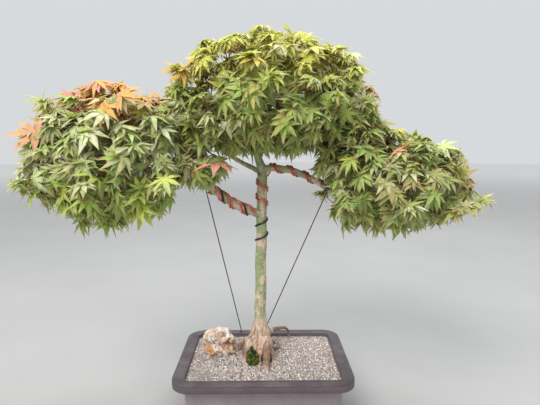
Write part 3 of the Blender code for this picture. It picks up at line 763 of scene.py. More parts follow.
def bridge(first, second):
    """Joins two coils by a straight run of short steps."""
    steps = int((second[0] - first[-1]).length / BRIDGE_STEP) + 1
    return first + [first[-1].lerp(second[0], step / steps) for step in range(1, steps)] + second


def settle(points, radius, rounds=14):
    """Evens the route out round by round, which draws it in, and lifts what would sink into the bark."""
    points = [point.copy() for point in points]
    for _ in range(rounds):
        evened = [points[0]]
        for before, here, after in zip(points, points[1:], points[2:]):
            evened.append(here * 0.5 + (before + after) * 0.25)
        points = evened + [points[-1]]
        for index, point in enumerate(points):
            nearest, normal, _, _ = wood_skin.find_nearest(point)
            away = point - nearest
            lift = away.length if away.dot(normal) > 0 else -away.length
            if lift < radius * SEAT_DEPTH:
                outward = normal if lift <= 0 else away.normalized()
                points[index] = nearest + outward * radius * SEAT_DEPTH
    return points


def draw_wire(name, points, radius, sides=3):
    """A round wire along the points, with closed ends, as a mesh."""
    data = bpy.data.curves.new(name, "CURVE")
    data.dimensions = "3D"
    data.bevel_depth = radius
    data.bevel_resolution = sides
    data.use_fill_caps = True
    spline = data.splines.new("POLY")
    spline.points.add(len(points) - 1)
    for knot, point in zip(spline.points, points):
        knot.co = (*point, 1)
    made = put_in_scene(name, data)
    pick(made)
    bpy.ops.object.convert(target="MESH")
    open_mesh(made)
    bpy.ops.mesh.select_all(action="SELECT")
    bpy.ops.mesh.remove_doubles(threshold=1e-6)
    bpy.ops.mesh.normals_make_consistent(inside=False)
    close_mesh()
    bpy.ops.object.shade_smooth_by_angle(angle=math.radians(50))
    return made


# %% [markdown]
# The tree wears seven coils: two pairs of copper-coloured wire on the left branch, a black one that climbs
# the trunk first, and a copper pair that crosses the trunk and runs out along the right branch.


# %% Wires of trunk and branches
def wire_left_branch():
    made = []
    for number, (lane, first_angle) in enumerate(((1, 180), (2, 180), (1, 0), (2, 0)), start=1):
        start = LEFT_COIL_START + lane * WIRE_LANE
        points = wind(left_line, start, WOUND_LENGTH, LEFT_PITCH, first_angle, WIRE_RADIUS)
        made.append((f"copper_wire_left_{number}", settle(points, WIRE_RADIUS)))
    return made


def wire_trunk_black():
    climb = LEFT_FORK_HEIGHT + ROOT_BALL_DEPTH - BLACK_BELOW_FORK
    points = wind(trunk_line, climb, climb + BLACK_TURNS * TRUNK_PITCH, TRUNK_PITCH, -120, WIRE_RADIUS)
    branch = wind(left_line, LEFT_COIL_START, WOUND_LENGTH, LEFT_PITCH, 180, WIRE_RADIUS)
    return settle(bridge(points, branch), WIRE_RADIUS)


def wire_right_branch():
    made = []
    for strand in (0, 1):
        climb = LEFT_FORK_HEIGHT + ROOT_BALL_DEPTH + PAIR_ABOVE_FORK + strand * WIRE_LANE
        top = climb + PAIR_CLIMB + (1 - strand) * 2 * MM
        points = wind(trunk_line, climb, top, -TRUNK_PITCH, 150, WIRE_RADIUS)
        start = RIGHT_COIL_START + (1 - strand) * WIRE_LANE
        branch = wind(right_line, start, WOUND_LENGTH, RIGHT_PITCH, 230, WIRE_RADIUS)
        made.append((f"copper_wire_right_{strand + 1}", settle(bridge(points, branch), WIRE_RADIUS)))
    return made


# %% [markdown]
# Annealed copper wire keeps a soft satin sheen. Handling dulls it in patches and rubs its coloured coat thin
# in other patches. Black wire is the same with a dark coat that still glints.


# %% Wire materials
def make_wire_finish(name, coat, worn, dull, shine):
    material, tree, shader = new_material(name)
    point = object_point(tree)
    wear = noise_at(tree, point, 140, 4.0, 0.6)
    colour = mix(tree, band(tree, wear, 0.50, 0.66), coat, worn)
    dirt = band(tree, noise_at(tree, point, 420, 4.0, 0.7), 0.55, 0.75, 0, 0.6)
    colour = mix(tree, dirt, colour, dull)
    dusty = use_group(tree, DUST, Color=colour, Amount=0.25, Scale=120.0)
    rough = band(tree, wear, 0.35, 0.70, shine + 0.14, shine)
    cover(tree, shader, dusty["Color"], rough, bump(tree, wear, 0.10 * MM, 0.5))
    shader.inputs["Metallic"].default_value = 0.6
    return material


COPPER = make_wire_finish("copper_wire", (0.66, 0.19, 0.14), (0.88, 0.42, 0.31), (0.30, 0.10, 0.075), 0.28)
BLACK = make_wire_finish("black_wire", (0.030, 0.030, 0.034), (0.16, 0.16, 0.17), (0.03, 0.025, 0.02), 0.26)
GUY = make_wire_finish("guy_wire", (0.085, 0.060, 0.050), (0.17, 0.13, 0.11), (0.05, 0.035, 0.03), 0.42)

for wire_name, route in wire_left_branch() + wire_right_branch():
    hand_over(draw_wire(wire_name + "_wound", route, WIRE_RADIUS), COPPER, "copper_wire", wire_name)
hand_over(draw_wire("black_wire_wound", wire_trunk_black(), WIRE_RADIUS), BLACK, "black_wire", "black_wire")

# %% [markdown]
# Two thin guy wires hold the branches down: each has a loop round its branch, a straight taut run, and a
# hooked end under the pot's rim. They start and end where the solid model's guys do.

# %% Guy wires
pot_low, pot_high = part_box("pot")
LIP_WIDTH = 3 * MM
FLANGE_WIDTH = 16 * MM
FLANGE_MIDDLE = pot_high.y - LIP_WIDTH - (FLANGE_WIDTH - LIP_WIDTH) / 2
GUY_FOOT_X = (-43 * MM, 3 * MM)
GUY_LOOP_AT = WOUND_LENGTH + 9 * MM
GUY_TURNS = 2.1
ABOVE_HOLE = 6 * MM
HOOK_LENGTH = 10 * MM
HOOK_BEND = 2 * MM
HOOK_GAP = 0.6 * MM


def guy_route(line, foot_x):
    """The loop ends where the wire already runs towards its foot, so it leaves the branch smoothly."""
    above_hole = Vector((foot_x, FLANGE_MIDDLE, pot_high.z + ABOVE_HOLE))
    middle, _, side, other = station(line, GUY_LOOP_AT)
    towards = above_hole - middle
    leaving = math.degrees(math.atan2(towards.dot(other), towards.dot(side))) - 90
    pitch = 2.3 * GUY_RADIUS
    first = leaving - 360 * GUY_TURNS
    loop = wind(line, GUY_LOOP_AT, GUY_LOOP_AT + GUY_TURNS * pitch, pitch, first, GUY_RADIUS)
    loop = settle(loop, GUY_RADIUS, 6)
    run = [loop[-1].lerp(above_hole, step / 8) for step in range(1, 8)]
    under = pot_high.z - LIP_WIDTH - GUY_RADIUS - HOOK_GAP
    heights = (above_hole.z, pot_high.z, under + HOOK_BEND)
    hook = [Vector((foot_x, FLANGE_MIDDLE, height)) for height in heights]
    for angle in (30, 60, 90):
        turn = math.radians(angle)
        x = foot_x + HOOK_BEND * (1 - math.cos(turn))
        hook.append(Vector((x, FLANGE_MIDDLE, under + HOOK_BEND * (1 - math.sin(turn)))))
    hook.append(Vector((foot_x + HOOK_LENGTH, FLANGE_MIDDLE, under)))
    return loop + run + hook


for side_name, branch_line, foot in zip(("left", "right"), (left_line, right_line), GUY_FOOT_X):
    guy_points = guy_route(branch_line, foot)
    guy_length = sum((b - a).length for a, b in zip(guy_points, guy_points[1:]))
    guy = draw_wire(f"guy_{side_name}_drawn", guy_points, GUY_RADIUS, 2)
    hand_over(guy, GUY, "guy_wire", f"guy_wire_{side_name}")
    print(f"guy wire {side_name} is {guy_length * 1000:.0f} mm long")

# %% [markdown]
# A maple leaf is a hand of pointed lobes round one point, on a thin stalk. It starts as a circle filled with
# triangles, whose rim is moved to be tips, shoulders and notches in turn. Each midrib is then split so that
# the lobe can arch, the same faces turned over make the underside, and a thin cone makes the stalk.


# %% One leaf
LEAF_FORMS = (
    # lobes, spread of the hand in degrees, shoulder width, notch depth, fold, droop, stalk drop
    (7, 274, 0.150, 0.31, 0.12, 0.55, 0.85),
    (7, 280, 0.138, 0.28, 0.18, 0.85, 1.10),
    (5, 220, 0.165, 0.33, 0.14, 0.40, 0.55),
    (7, 268, 0.145, 0.32, 0.08, 1.10, 1.25),
    (5, 230, 0.150, 0.30, 0.22, 0.70, 0.90),
)
STALK_LENGTH = 0.42
STALK_WIDTH = 0.016
LEAF_THICKNESS = 0.008
SHOULDER_AT = 0.46
LEAF_SEED = 40


def lobe_length(share):
    """The middle lobe is the longest and those beside the stalk are small; share runs from -1 to 1."""
    return 0.62 - 0.08 * abs(share) - 0.24 * share**2


def place_rim(rim, form, draw):
    """Moves the circle's points to each lobe's notch, shoulder, tip and shoulder in turn."""
    lobes, spread, width, notch = form[:4]
    step = math.radians(spread) / (lobes - 1)
    for index, vertex in enumerate(rim):
        lobe, role = divmod(index, 4)
        length = lobe_length(2 * lobe / (lobes - 1) - 1)
        angle = step * (lobe - (lobes - 1) / 2)
        if role == 0:
            angle -= step / 2
            reach = notch * length
        elif role == 2:
            reach = length * draw.uniform(0.93, 1.05)
        else:
            angle += (role - 2) * math.atan2(width, SHOULDER_AT)
            reach = math.hypot(SHOULDER_AT, width) * length
        vertex.co = (reach * math.sin(angle), reach * math.cos(angle), 0)


def model_leaf(number, form):
    fold, droop, stalk_drop = form[4:]
    draw = random.Random(LEAF_SEED + number)
    circle = bpy.ops.mesh.primitive_circle_add
    leaf = begin(f"leaf_{number}", circle, vertices=4 * form[0], radius=1, fill_type="TRIFAN")
    open_mesh(leaf)
    shape = bmesh.from_edit_mesh(leaf.data)
    heart = min(shape.verts, key=lambda vertex: vertex.co.length)
    rim = sorted((v for v in shape.verts if v != heart), key=lambda v: math.atan2(v.co.x, v.co.y))
    place_rim(rim, form, draw)
    tips = rim[2::4]
    bpy.ops.mesh.select_all(action="DESELECT")
    bpy.ops.mesh.select_mode(type="EDGE")
    for edge in shape.edges:
        edge.select_set(heart in edge.verts and any(tip in edge.verts for tip in tips))
    bmesh.update_edit_mesh(leaf.data)
    bpy.ops.mesh.subdivide(number_cuts=1)
    shape = bmesh.from_edit_mesh(leaf.data)
    inner = {vertex for vertex in shape.verts if not vertex.is_boundary}
    heart = min(inner, key=lambda vertex: vertex.co.length)
    for edge in shape.edges:
        ends = set(edge.verts)
        far = max(edge.verts, key=lambda vertex: vertex.co.length)
        edge.select_set(heart in ends and far not in inner and len(far.link_edges) == 4)
    bmesh.update_edit_mesh(leaf.data)
    bpy.ops.mesh.dissolve_edges(use_verts=False)
    shape = bmesh.from_edit_mesh(leaf.data)
    arch_leaf(shape, fold, droop, draw)
    mark_faces(shape)
    bmesh.update_edit_mesh(leaf.data)
    bpy.ops.mesh.select_all(action="SELECT")
    bpy.ops.mesh.duplicate()
    bpy.ops.mesh.flip_normals()
    shape = bmesh.from_edit_mesh(leaf.data)
    mark_under(shape, [face for face in shape.faces if face.select])
    bmesh.update_edit_mesh(leaf.data)
    bpy.ops.mesh.select_all(action="SELECT")
    bpy.ops.mesh.remove_doubles(threshold=1e-4)
    add_stalk(leaf, stalk_drop)
    close_mesh()
    return leaf


def arch_leaf(shape, fold, droop, draw):
    """Lifts the lobes' edges above their midribs, and lets the tips hang."""
    for vertex in shape.verts:
        out = vertex.co.length
        keel = fold * 0.5 * out if vertex.is_boundary and len(vertex.link_edges) == 3 else 0.0
        vertex.co.z = keel - droop * 1.1 * out**2 + draw.uniform(-0.012, 0.012)


def mark_faces(shape):
    """Writes each corner's (distance out, nearness to a midrib, underside, stalk) for the leaf's material."""
    blade = shape.loops.layers.float_color.new("blade")
    for face in shape.faces:
        for loop in face.loops:
            vertex = loop.vert
            on_rib = not vertex.is_boundary or len(vertex.link_edges) == 3
            loop[blade] = (min(vertex.co.length / 0.6, 1), float(on_rib), 0, 0)


def mark_under(shape, faces):
    blade = shape.loops.layers.float_color["blade"]
    for face in faces:
        for loop in face.loops:
            along, rib, _, _ = loop[blade]
            loop[blade] = (along, rib, 1, 0)
            if not loop.vert.is_boundary and not loop.vert.tag:
                loop.vert.co.z -= LEAF_THICKNESS
                loop.vert.tag = True


def add_stalk(leaf, drop):
    """A three-sided stalk from the leaf's heart back and down to the twig."""
    far = Vector((0, -STALK_LENGTH * math.cos(drop), -STALK_LENGTH * math.sin(drop)))
    middle = far * 0.5 + Vector((0, 0, 0.06))
    bpy.ops.mesh.select_all(action="DESELECT")
    bpy.ops.mesh.primitive_circle_add(vertices=3, radius=STALK_WIDTH, fill_type="NGON", rotation=(math.pi / 2, 0, 0))
    extrude(middle)
    extrude(far - middle)
    shape = bmesh.from_edit_mesh(leaf.data)
    blade = shape.loops.layers.float_color["blade"]
    unseen = [face for face in shape.faces if face.select]
    stalk = set(unseen)
    while unseen:
        for edge in unseen.pop().edges:
            for face in edge.link_faces:
                if face not in stalk:
                    stalk.add(face)
                    unseen.append(face)
    for face in stalk:
        for loop in face.loops:
            loop[blade] = (0, 0, 0, 1)
    bmesh.update_edit_mesh(leaf.data)
    bpy.ops.mesh.select_linked()
    bpy.ops.mesh.normals_make_consistent(inside=False)


leaves = [model_leaf(number, form) for number, form in enumerate(LEAF_FORMS)]
for leaf in leaves:
    print(leaf.name, len(leaf.data.polygons), "faces", [round(side, 3) for side in leaf.dimensions])

# %% [markdown]
# On the tree the leaves sit in pairs along fine twigs, in flat layers. So each clump of the crown is sown
# with twig ends, in three shells that swell and shrink a little. Each end is joined to the nearest twig that
# is already there, the first ones to the solid model's own twigs, and leaves are hung along each new twig.

# %% Twig ends of the crown's clumps
MOST_PROUD = 15 * MM
LAYER_GAP = 23 * MM
SPRAY_HEIGHT = 16 * MM
CLUMPS = (
    # crown part, fork, middle from it, half sizes along x and y, half heights above and below, twig ends on
    # the outer shell, and for a clump that a branch comes into, the side it comes from
    ("left", left_fork, (-227, -52, 92), (121, 112), (114, 98), 145, 8),
    ("left", left_fork, (-120, -22, 152), (62, 70), (44, 48), 38, None),
    ("left", left_fork, (-90, -62, 80), (38, 30), (22, 20), 16, None),
    ("top", right_fork, (16, -6, 108), (168, 148), (106, 84), 235, None),
    ("right", right_fork, (152, -24, 40), (58, 68), (50, 44), 34, None),
    ("right", right_fork, (206, -12, -18), (127, 116), (84, 80), 132, 180),
)
SHELLS = ((1.0, 1.0), (0.78, 0.48), (0.52, 0.16))
BRANCH_GAP = 28
GOLDEN_ANGLE = math.pi * (3 - math.sqrt(5))


def read_spray_feet(part):
    """(place, outward direction) of each end of the solid model's twigs, under its leaf sprays."""
    found = []
    for name in sorted(nodes):
        if not name.startswith(f"leaf_spray_{part}_"):
            continue
        points, _ = points_and_normals(nodes[name].data)
        points = np.unique(np.round(points, 6), axis=0)
        middle = points.mean(axis=0)
        outward = np.linalg.svd(points - middle)[2][2]
        outward = outward if outward[2] > 0 else -outward
        found.append((Vector(middle - outward * 7 * MM), Vector(outward)))
    return found


def sow_clump(clump, draw):
    """(place, outward direction) of each twig end, spread evenly over the clump's shells."""
    _, fork, offset, (wide, deep), (above, below), most, branch_side = clump
    middle = fork + Vector(offset) * MM
    found = []
    for scale, share in SHELLS:
        count = round(most * share)
        for index in range(count):
            rise = 2 * (index + 0.5) / count - 1
            level = math.sqrt(1 - rise * rise)
            angle = index * GOLDEN_ANGLE + draw.uniform(-0.12, 0.12)
            if branch_side is not None and -0.75 < rise < 0.1:
                off_branch = (math.degrees(angle) - branch_side + 180) % 360 - 180
                if abs(off_branch) < BRANCH_GAP:
                    continue
            direction = Vector((level * math.cos(angle), level * math.sin(angle), rise))
            swell = 0.95 + 0.16 * noise.noise(direction * 2.1 + fork * 40) + draw.uniform(-0.07, 0.05)
            size = Vector((wide, deep, above if rise > 0 else below)) * MM
            place = middle + direction * size * scale * swell
            layer = (round(place.z / LAYER_GAP) + 0.25 * draw.uniform(-1, 1)) * LAYER_GAP
            place.z += 0.55 * (layer - place.z)
            outward = Vector([part / side for part, side in zip(direction, size)]).normalized()
            found.append((place, outward))
    return found


def join_ends(ends, feet):
    """(start, end, outward) of each new twig: every end grows from the nearest twig already there."""
    grown = [(foot, 0.0) for foot in feet]
    waiting = sorted(ends, key=lambda end: min((end[0] - foot).length for foot in feet))
    twigs = []
    for place, outward in waiting:
        start, length = min(grown, key=lambda knot: (place - knot[0]).length + 0.25 * knot[1])
        twigs.append((start, place, outward))
        grown.append((place, length + (place - start).length))
    return twigs


# %% [markdown]
# A leaf is hung by its stalk's far end, so it moves out from the twig by the stalk's length. It leans away
# from the twig. At the crest its face looks up, and on the flanks it tips outwards. Its colour is drawn from
# where it hangs: young leaves at the crest are lime and a few flushes are pink and orange. Some leaves get a
# painted sheen, a whitish colour that stands in for the highlight on a glossy leaf, fewer on a clump's underside.
# A few big leaves that stand out are each hung in place of the nearest ordinary one.

# %% Leaves along a twig
LEAF_SIZE = {"left": (31, 54), "top": (29, 48), "right": (30, 50)}
# The share of each part's leaves with a painted sheen: a whitish colour that stands in for the highlight on glossy
# leaves.
PAINTED_SHEEN_SHARE = {"left": 0.48, "top": 0.08, "right": 0.26}
FLUSHES = (
    # centre, reach, redness, hue (0 pink, 0.5 orange, 1 crimson)
    ((-0.275, -0.05, 0.520), 0.046, 1.0, 0.06),
    ((-0.215, -0.05, 0.515), 0.070, 0.95, 0.50),
    ((-0.170, -0.04, 0.505), 0.045, 0.75, 0.42),
    ((-0.335, -0.06, 0.475), 0.050, 0.6, 0.30),
    ((-0.360, -0.08, 0.410), 0.040, 0.45, 0.35),
    ((-0.070, -0.12, 0.430), 0.035, 0.6, 0.20),
    ((0.052, -0.06, 0.390), 0.022, 0.8, 0.05),
    ((0.200, -0.06, 0.455), 0.026, 0.9, 0.95),
    ((0.165, -0.02, 0.520), 0.040, 0.9, 0.50),
    ((0.156, -0.10, 0.316), 0.040, 0.7, 0.45),
    ((-0.125, -0.02, 0.565), 0.050, 0.7, 0.50),
    ((0.060, 0.00, 0.620), 0.040, 0.4, 0.50),
    ((0.250, 0.06, 0.430), 0.035, 0.6, 0.30),
    ((0.300, -0.06, 0.400), 0.035, 0.4, 0.30),
)
HERO_LEAVES = (
    # crown part, place, lean, facing, size in mm, (redness, lime, hue, painted sheen for a painted highlight)
    ("left", (-0.318, -0.090, 0.478), (-0.9, -0.25, 0.05), (0.0, -0.75, 0.65), 74, (0.85, 0.3, 0.22, 0)),
    ("left", (-0.075, -0.135, 0.440), (0.0, -0.90, -0.10), (0.1, -0.80, 0.60), 72, (1.00, 0.3, 0.12, 0)),
    ("left", (-0.268, -0.090, 0.525), (-0.8, -0.30, 0.20), (0.1, -0.85, 0.50), 60, (1.00, 0.3, 0.00, 0)),
    ("left", (-0.236, -0.090, 0.519), (0.2, -0.60, -0.20), (0.1, -0.85, 0.50), 54, (1.00, 0.3, 0.08, 0)),
    ("left", (-0.190, -0.100, 0.515), (0.6, -0.60, 0.00), (0.1, -0.80, 0.55), 60, (0.95, 0.3, 0.50, 0)),
    ("left", (-0.235, -0.100, 0.500), (-0.2, -0.80, 0.00), (0.0, -0.80, 0.55), 56, (0.95, 0.3, 0.44, 0)),
    ("left", (-0.202, -0.130, 0.487), (0.0, -0.60, -0.60), (0.0, -0.85, 0.50), 56, (0.90, 0.3, 0.52, 0)),
    ("left", (-0.164, -0.120, 0.501), (0.5, -0.60, -0.20), (0.0, -0.80, 0.60), 58, (0.90, 0.3, 0.30, 0)),
    ("left", (-0.230, -0.150, 0.446), (-0.2, -0.60, -0.60), (0.0, -0.80, 0.55), 60, (0.05, 0.2, 0.95, 1)),
    ("left", (-0.283, -0.120, 0.439), (-0.4, -0.50, -0.60), (-0.2, -0.80, 0.50), 50, (0.05, 0.2, 0.85, 0.9)),
    ("left", (-0.328, -0.090, 0.417), (-0.8, -0.40, -0.30), (-0.2, -0.80, 0.55), 52, (0.10, 0.1, 0.95, 1)),
    ("left", (-0.124, -0.100, 0.473), (0.5, -0.60, -0.30), (0.1, -0.70, 0.70), 48, (0.00, 0.1, 0.90, 1)),
    ("left", (-0.136, -0.130, 0.397), (0.3, -0.60, -0.40), (0.0, -0.75, 0.65), 50, (0.00, 0.6, 0.95, 0.2)),
    ("left", (-0.182, -0.120, 0.341), (0.0, -0.60, -0.80), (0.0, -0.95, 0.30), 46, (0.00, 0.6, 1.00, 0)),
    ("left", (-0.272, -0.120, 0.364), (-0.3, -0.60, -0.60), (-0.1, -0.90, 0.40), 46, (0.00, 0.4, 1.00, 0)),
    ("top", (-0.130, -0.060, 0.565), (-0.8, -0.40, 0.10), (0.0, -0.75, 0.60), 56, (0.75, 0.3, 0.55, 0)),
    ("top", (-0.092, -0.060, 0.583), (-0.8, -0.40, 0.10), (0.0, -0.60, 0.80), 52, (0.00, 1.0, 0.90, 0)),
    ("top", (0.015, -0.120, 0.559), (0.0, -0.80, -0.40), (0.0, -0.55, 0.85), 58, (0.12, 0.0, 0.80, 1)),
    ("top", (-0.030, -0.120, 0.546), (-0.5, -0.70, -0.10), (0.0, -0.60, 0.80), 54, (0.55, 1.0, 0.55, 0)),
    ("top", (0.016, -0.040, 0.608), (0.0, -0.70, 0.20), (0.0, -0.70, 0.70), 56, (0.00, 1.0, 0.90, 0)),
    ("top", (0.076, -0.080, 0.577), (0.3, -0.70, 0.00), (0.0, -0.60, 0.80), 52, (0.15, 1.0, 0.70, 0)),
    ("top", (-0.033, -0.140, 0.523), (0.0, -0.60, -0.60), (0.0, -0.75, 0.65), 48, (0.00, 0.4, 0.80, 0.4)),
    ("top", (-0.060, -0.120, 0.459), (0.2, -0.60, -0.50), (0.0, -0.80, 0.60), 46, (0.00, 0.1, 0.80, 1)),
    ("right", (0.302, -0.080, 0.367), (0.3, -0.60, -0.70), (0.1, -0.90, 0.40), 52, (0.05, 0.2, 0.95, 0.5)),
    ("right", (0.270, -0.090, 0.431), (0.6, -0.60, 0.00), (0.0, -0.75, 0.65), 50, (0.00, 0.2, 0.85, 0.6)),
    ("right", (0.215, -0.140, 0.418), (0.1, -0.70, -0.30), (0.0, -0.75, 0.65), 46, (0.00, 0.2, 0.90, 0.9)),
    ("right", (0.141, -0.140, 0.408), (0.1, -0.60, -0.50), (0.0, -0.80, 0.60), 44, (0.20, 0.1, 0.70, 0.6)),
    ("right", (0.103, -0.120, 0.422), (0.0, -0.60, -0.70), (0.0, -0.90, 0.40), 34, (0.00, 0.9, 1.00, 0)),
    ("right", (0.173, -0.100, 0.330), (0.1, -0.40, -0.90), (0.0, -0.95, 0.20), 44, (0.35, 0.1, 0.45, 0)),
    ("right", (0.195, -0.090, 0.452), (0.3, -0.70, 0.20), (0.0, -0.80, 0.60), 36, (1.00, 0.3, 0.95, 0)),
)


def tint_at(place, part, low, draw):
    """(redness, lime, hue, painted sheen) of a leaf that hangs at a place; low is 1 on a clump's underside."""
    darkest, brightest = {"left": (0.1 + 0.3 * low, 1.0), "top": (0.0, 0.85), "right": (0.0, 0.72)}[part]
    hue = draw.uniform(darkest, brightest)
    redness = max(0.0, draw.gauss(-0.02, 0.14))
    for centre, reach, strength, wanted in FLUSHES:
        near = 1 - (place - Vector(centre)).length / reach
        if near > 0:
            redness = max(redness, strength * min(1, 1.6 * near + draw.uniform(-0.1, 0.3)))
            hue = min(1, max(0, wanted + draw.uniform(-0.12, 0.12)))
    lime = draw.gauss(0.06, 0.20)
    if part == "top":
        lime += 0.06 + 0.95 * smooth_step(place.z, 0.50, 0.58)
    else:
        lime += 0.25 * smooth_step(place.z, 0.43, 0.53)
    # Painted highlight: some leaves get a painted sheen, more near the gap between the left and top parts, fewer on
    # a clump's underside.
    bridging = 0.35 * (1 - min(1, abs(place.x + 0.10) / 0.07)) * smooth_step(0.52 - place.z, 0, 0.03)
    has_painted_sheen = draw.random() < (PAINTED_SHEEN_SHARE[part] + bridging) * (1 - low)
    pale = draw.uniform(0.5, 1.0) if has_painted_sheen else draw.uniform(0, 0.6 * PAINTED_SHEEN_SHARE[part]) * (1 - low)
    return min(1, redness), min(1, max(0, lime)), hue, pale


def hang_leaf(knot, lean, facing, size, number):
    """The matrix of a leaf whose stalk ends at a knot."""
    turned = leaf_matrix(Vector((0, 0, 0)), lean, facing, 1.0)
    for share in (1.0, 0.85, 0.7, 0.55):
        place = knot - turned @ (leaf_feet[number] * size * share)
        tip = place + turned @ Vector((0, 0.6 * size * share, -0.15 * size * share))
        if all(lo - MOST_PROUD < at < hi + MOST_PROUD for lo, at, hi in zip(cad_low, tip, cad_high)):
            break
    return Matrix.Translation(place) @ turned @ Matrix.Scale(size * share, 4)


def leaves_of_twig(twig, part, draw):
    """Leaves in pairs along a twig, and two at its end: (leaf number, matrix, tint, knot)."""
    start, end, outward = twig
    heading = (end - start).normalized()
    flat = Vector((outward.x, outward.y, 0))
    crest = smooth_step(outward.z, 0.0, 0.9)
    low = smooth_step(-outward.z, 0.1, 0.7)
    across = heading.cross(outward)
    across = across.normalized() if across.length > 0.1 else outward.orthogonal()
    found = []
    for share, hand in ((0.55, draw.choice((-1, 1))), (0.80, 1), (0.80, -1), (1.0, 0), (1.0, 0)):
        lean = heading * 0.4 + flat * 0.6 + across * hand * draw.uniform(0.6, 1.2)
        lean += across * draw.gauss(0, 0.5) - UP * draw.uniform(0.0, 0.35 + 0.5 * low)
        facing = flat * (0.75 - 0.45 * crest) + UP * (0.62 + 0.45 * crest)
        facing += Vector([draw.gauss(0, 0.22) for _ in range(3)])
        number = draw.randrange(len(leaves))
        knot = start.lerp(end, share)
        matrix = hang_leaf(knot, lean, facing, draw.uniform(*LEAF_SIZE[part]) * MM, number)
        found.append((number, matrix, tint_at(matrix.translation, part, low, draw), knot))
    return found


def hang_heroes(hung, part):
    """Hangs each leaf that stands out in place of the leaf whose knot is nearest."""
    free = set(range(len(hung)))
    for wanted, place, lean, facing, size, tint in HERO_LEAVES:
        if wanted == part:
            at = min(sorted(free), key=lambda index: (hung[index][3] - Vector(place)).length)
            free.remove(at)
            knot = hung[at][3]
            hung[at] = (0, hang_leaf(knot, Vector(lean), Vector(facing), size * MM, 0), tint, knot)


def model_twiglet():
    """A thin tapered twig of length 1 along +Y and width 1, with a slight zigzag at its knots."""
    circle = bpy.ops.mesh.primitive_circle_add
    twig = begin("twiglet", circle, vertices=4, radius=1, fill_type="NGON", rotation=(math.pi / 2, 0, 0))
    rest_at_origin(twig)
    open_mesh(twig)
    bpy.ops.mesh.select_all(action="SELECT")
    for sway, share in ((1.2, 0.30), (-1.8, 0.32), (0.6, 0.38)):
        extrude((sway, share, 0))
        bpy.ops.transform.resize(value=(0.8, 0.8, 0.8))
    bpy.ops.mesh.select_all(action="SELECT")
    bpy.ops.mesh.normals_make_consistent(inside=False)
    close_mesh()
    return twig


def stalk_foot(leaf):
    """The far end of a leaf's stalk, which was made last."""
    points, _ = points_and_normals(leaf.data)
    return Vector(points[-3:].mean(axis=0))


leaf_feet = [stalk_foot(leaf) for leaf in leaves]
twiglet = model_twiglet()
print("stalk ends", [tuple(round(x, 2) for x in foot) for foot in leaf_feet])

# %% [markdown]
# A maple leaf's green deepens towards its midribs and pales at its back. Sun and cool nights redden its
# tips and edges first. The leaf's own corners say how far out they are and how near a midrib, so the
# material can draw veins and red margins on every copy without a picture.


# %% Leaf material
def make_leaf_finish():
    material, tree, shader = new_material("leaf")
    out, rib, under, stalk = split_colour(tree, "blade")
    redness, lime, hue, painted_sheen = split_colour(tree, "tint")
    point = object_point(tree)
    mottle = noise_at(tree, point, 95, 4.0, 0.6)
    shade = plus(tree, times(tree, hue, 0.6), times(tree, mottle, 0.4))
    green = ramp(
        tree,
        shade,
        ((0.18, (0.017, 0.075, 0.003)), (0.48, (0.065, 0.245, 0.005)), (0.82, (0.21, 0.56, 0.018))),
    )
    fresh = ramp(tree, shade, ((0.2, (0.38, 0.43, 0.003)), (0.8, (0.80, 0.82, 0.008))))
    colour = mix(tree, lime, green, fresh)
    # Painted highlight: leaves with a painted sheen are mixed towards a pale whitish green that stands in for the
    # sheen of a glossy leaf.
    painted_sheen_colour = ramp(tree, shade, ((0.2, (0.42, 0.50, 0.24)), (0.8, (0.86, 0.90, 0.60))))
    colour = mix(tree, times(tree, painted_sheen, band(tree, mottle, 0.3, 0.6, 0.6, 0.95)), colour, painted_sheen_colour)
    flush = ramp(
        tree,
        hue,
        (
            (0.0, (0.90, 0.035, 0.19)),
            (0.26, (0.86, 0.22, 0.20)),
            (0.52, (0.92, 0.24, 0.012)),
            (1.0, (0.62, 0.015, 0.04)),
        ),
    )
    blotch = band(tree, noise_at(tree, point, 38, 3.0), 0.48, 0.64)
    tipped = band(tree, noise_at(tree, point, 30, 3.0), 0.40, 0.58, 0, 0.85)
    tips = times(tree, band(tree, out, 0.66, 0.98), tipped)
    edge = times(tree, band(tree, rib, 0.0, 0.25, 1, 0), times(tree, blotch, 0.30))
    margin = math_node(tree, "MAXIMUM", tips, edge)
    # The red margin is paler on leaves with a painted sheen, part of the same painted highlight.
    rusty = mix(tree, painted_sheen, (0.66, 0.16, 0.045), (0.74, 0.30, 0.20))
    colour = mix(tree, margin, colour, rusty)
    reddened = times(tree, redness, band(tree, mottle, 0.25, 0.55, 0.85, 1.0), clamp=True)
    colour = mix(tree, reddened, colour, flush)
    veins = band(tree, rib, 0.90, 0.985)
    colour = mix(tree, times(tree, veins, 0.40), colour, (0.58, 0.56, 0.24))
    back = mix(tree, 0.28, colour, (0.31, 0.42, 0.13))
    colour = mix(tree, under, colour, back)
    colour = mix(tree, stalk, colour, (0.42, 0.16, 0.11))
    across = plus(tree, times(tree, rib, -0.6), times(tree, mottle, 0.5))
    rough = band(tree, mottle, 0.3, 0.7, 0.48, 0.64)
    cover(tree, shader, colour, rough, bump(tree, across, 0.7 * MM, 0.5))
    shader.inputs["Specular IOR Level"].default_value = 0.16
    shader.inputs["Subsurface Weight"].default_value = 0.45
    shader.inputs["Subsurface Radius"].default_value = (1.0, 1.0, 0.35)
    shader.inputs["Subsurface Scale"].default_value = 2 * MM
    return material


LEAF = make_leaf_finish()

# %% [markdown]
# Now the crown is laid out, one part at a time. Its ends are joined to twigs, a thin tapered twig is copied
# along each, and the leaves are hung. The three parts stand for the solid model's flat leaf sprays.

# %% Lay the foliage
TWIG_WIDTH = 0.85 * MM
CROWN_SEED = 7


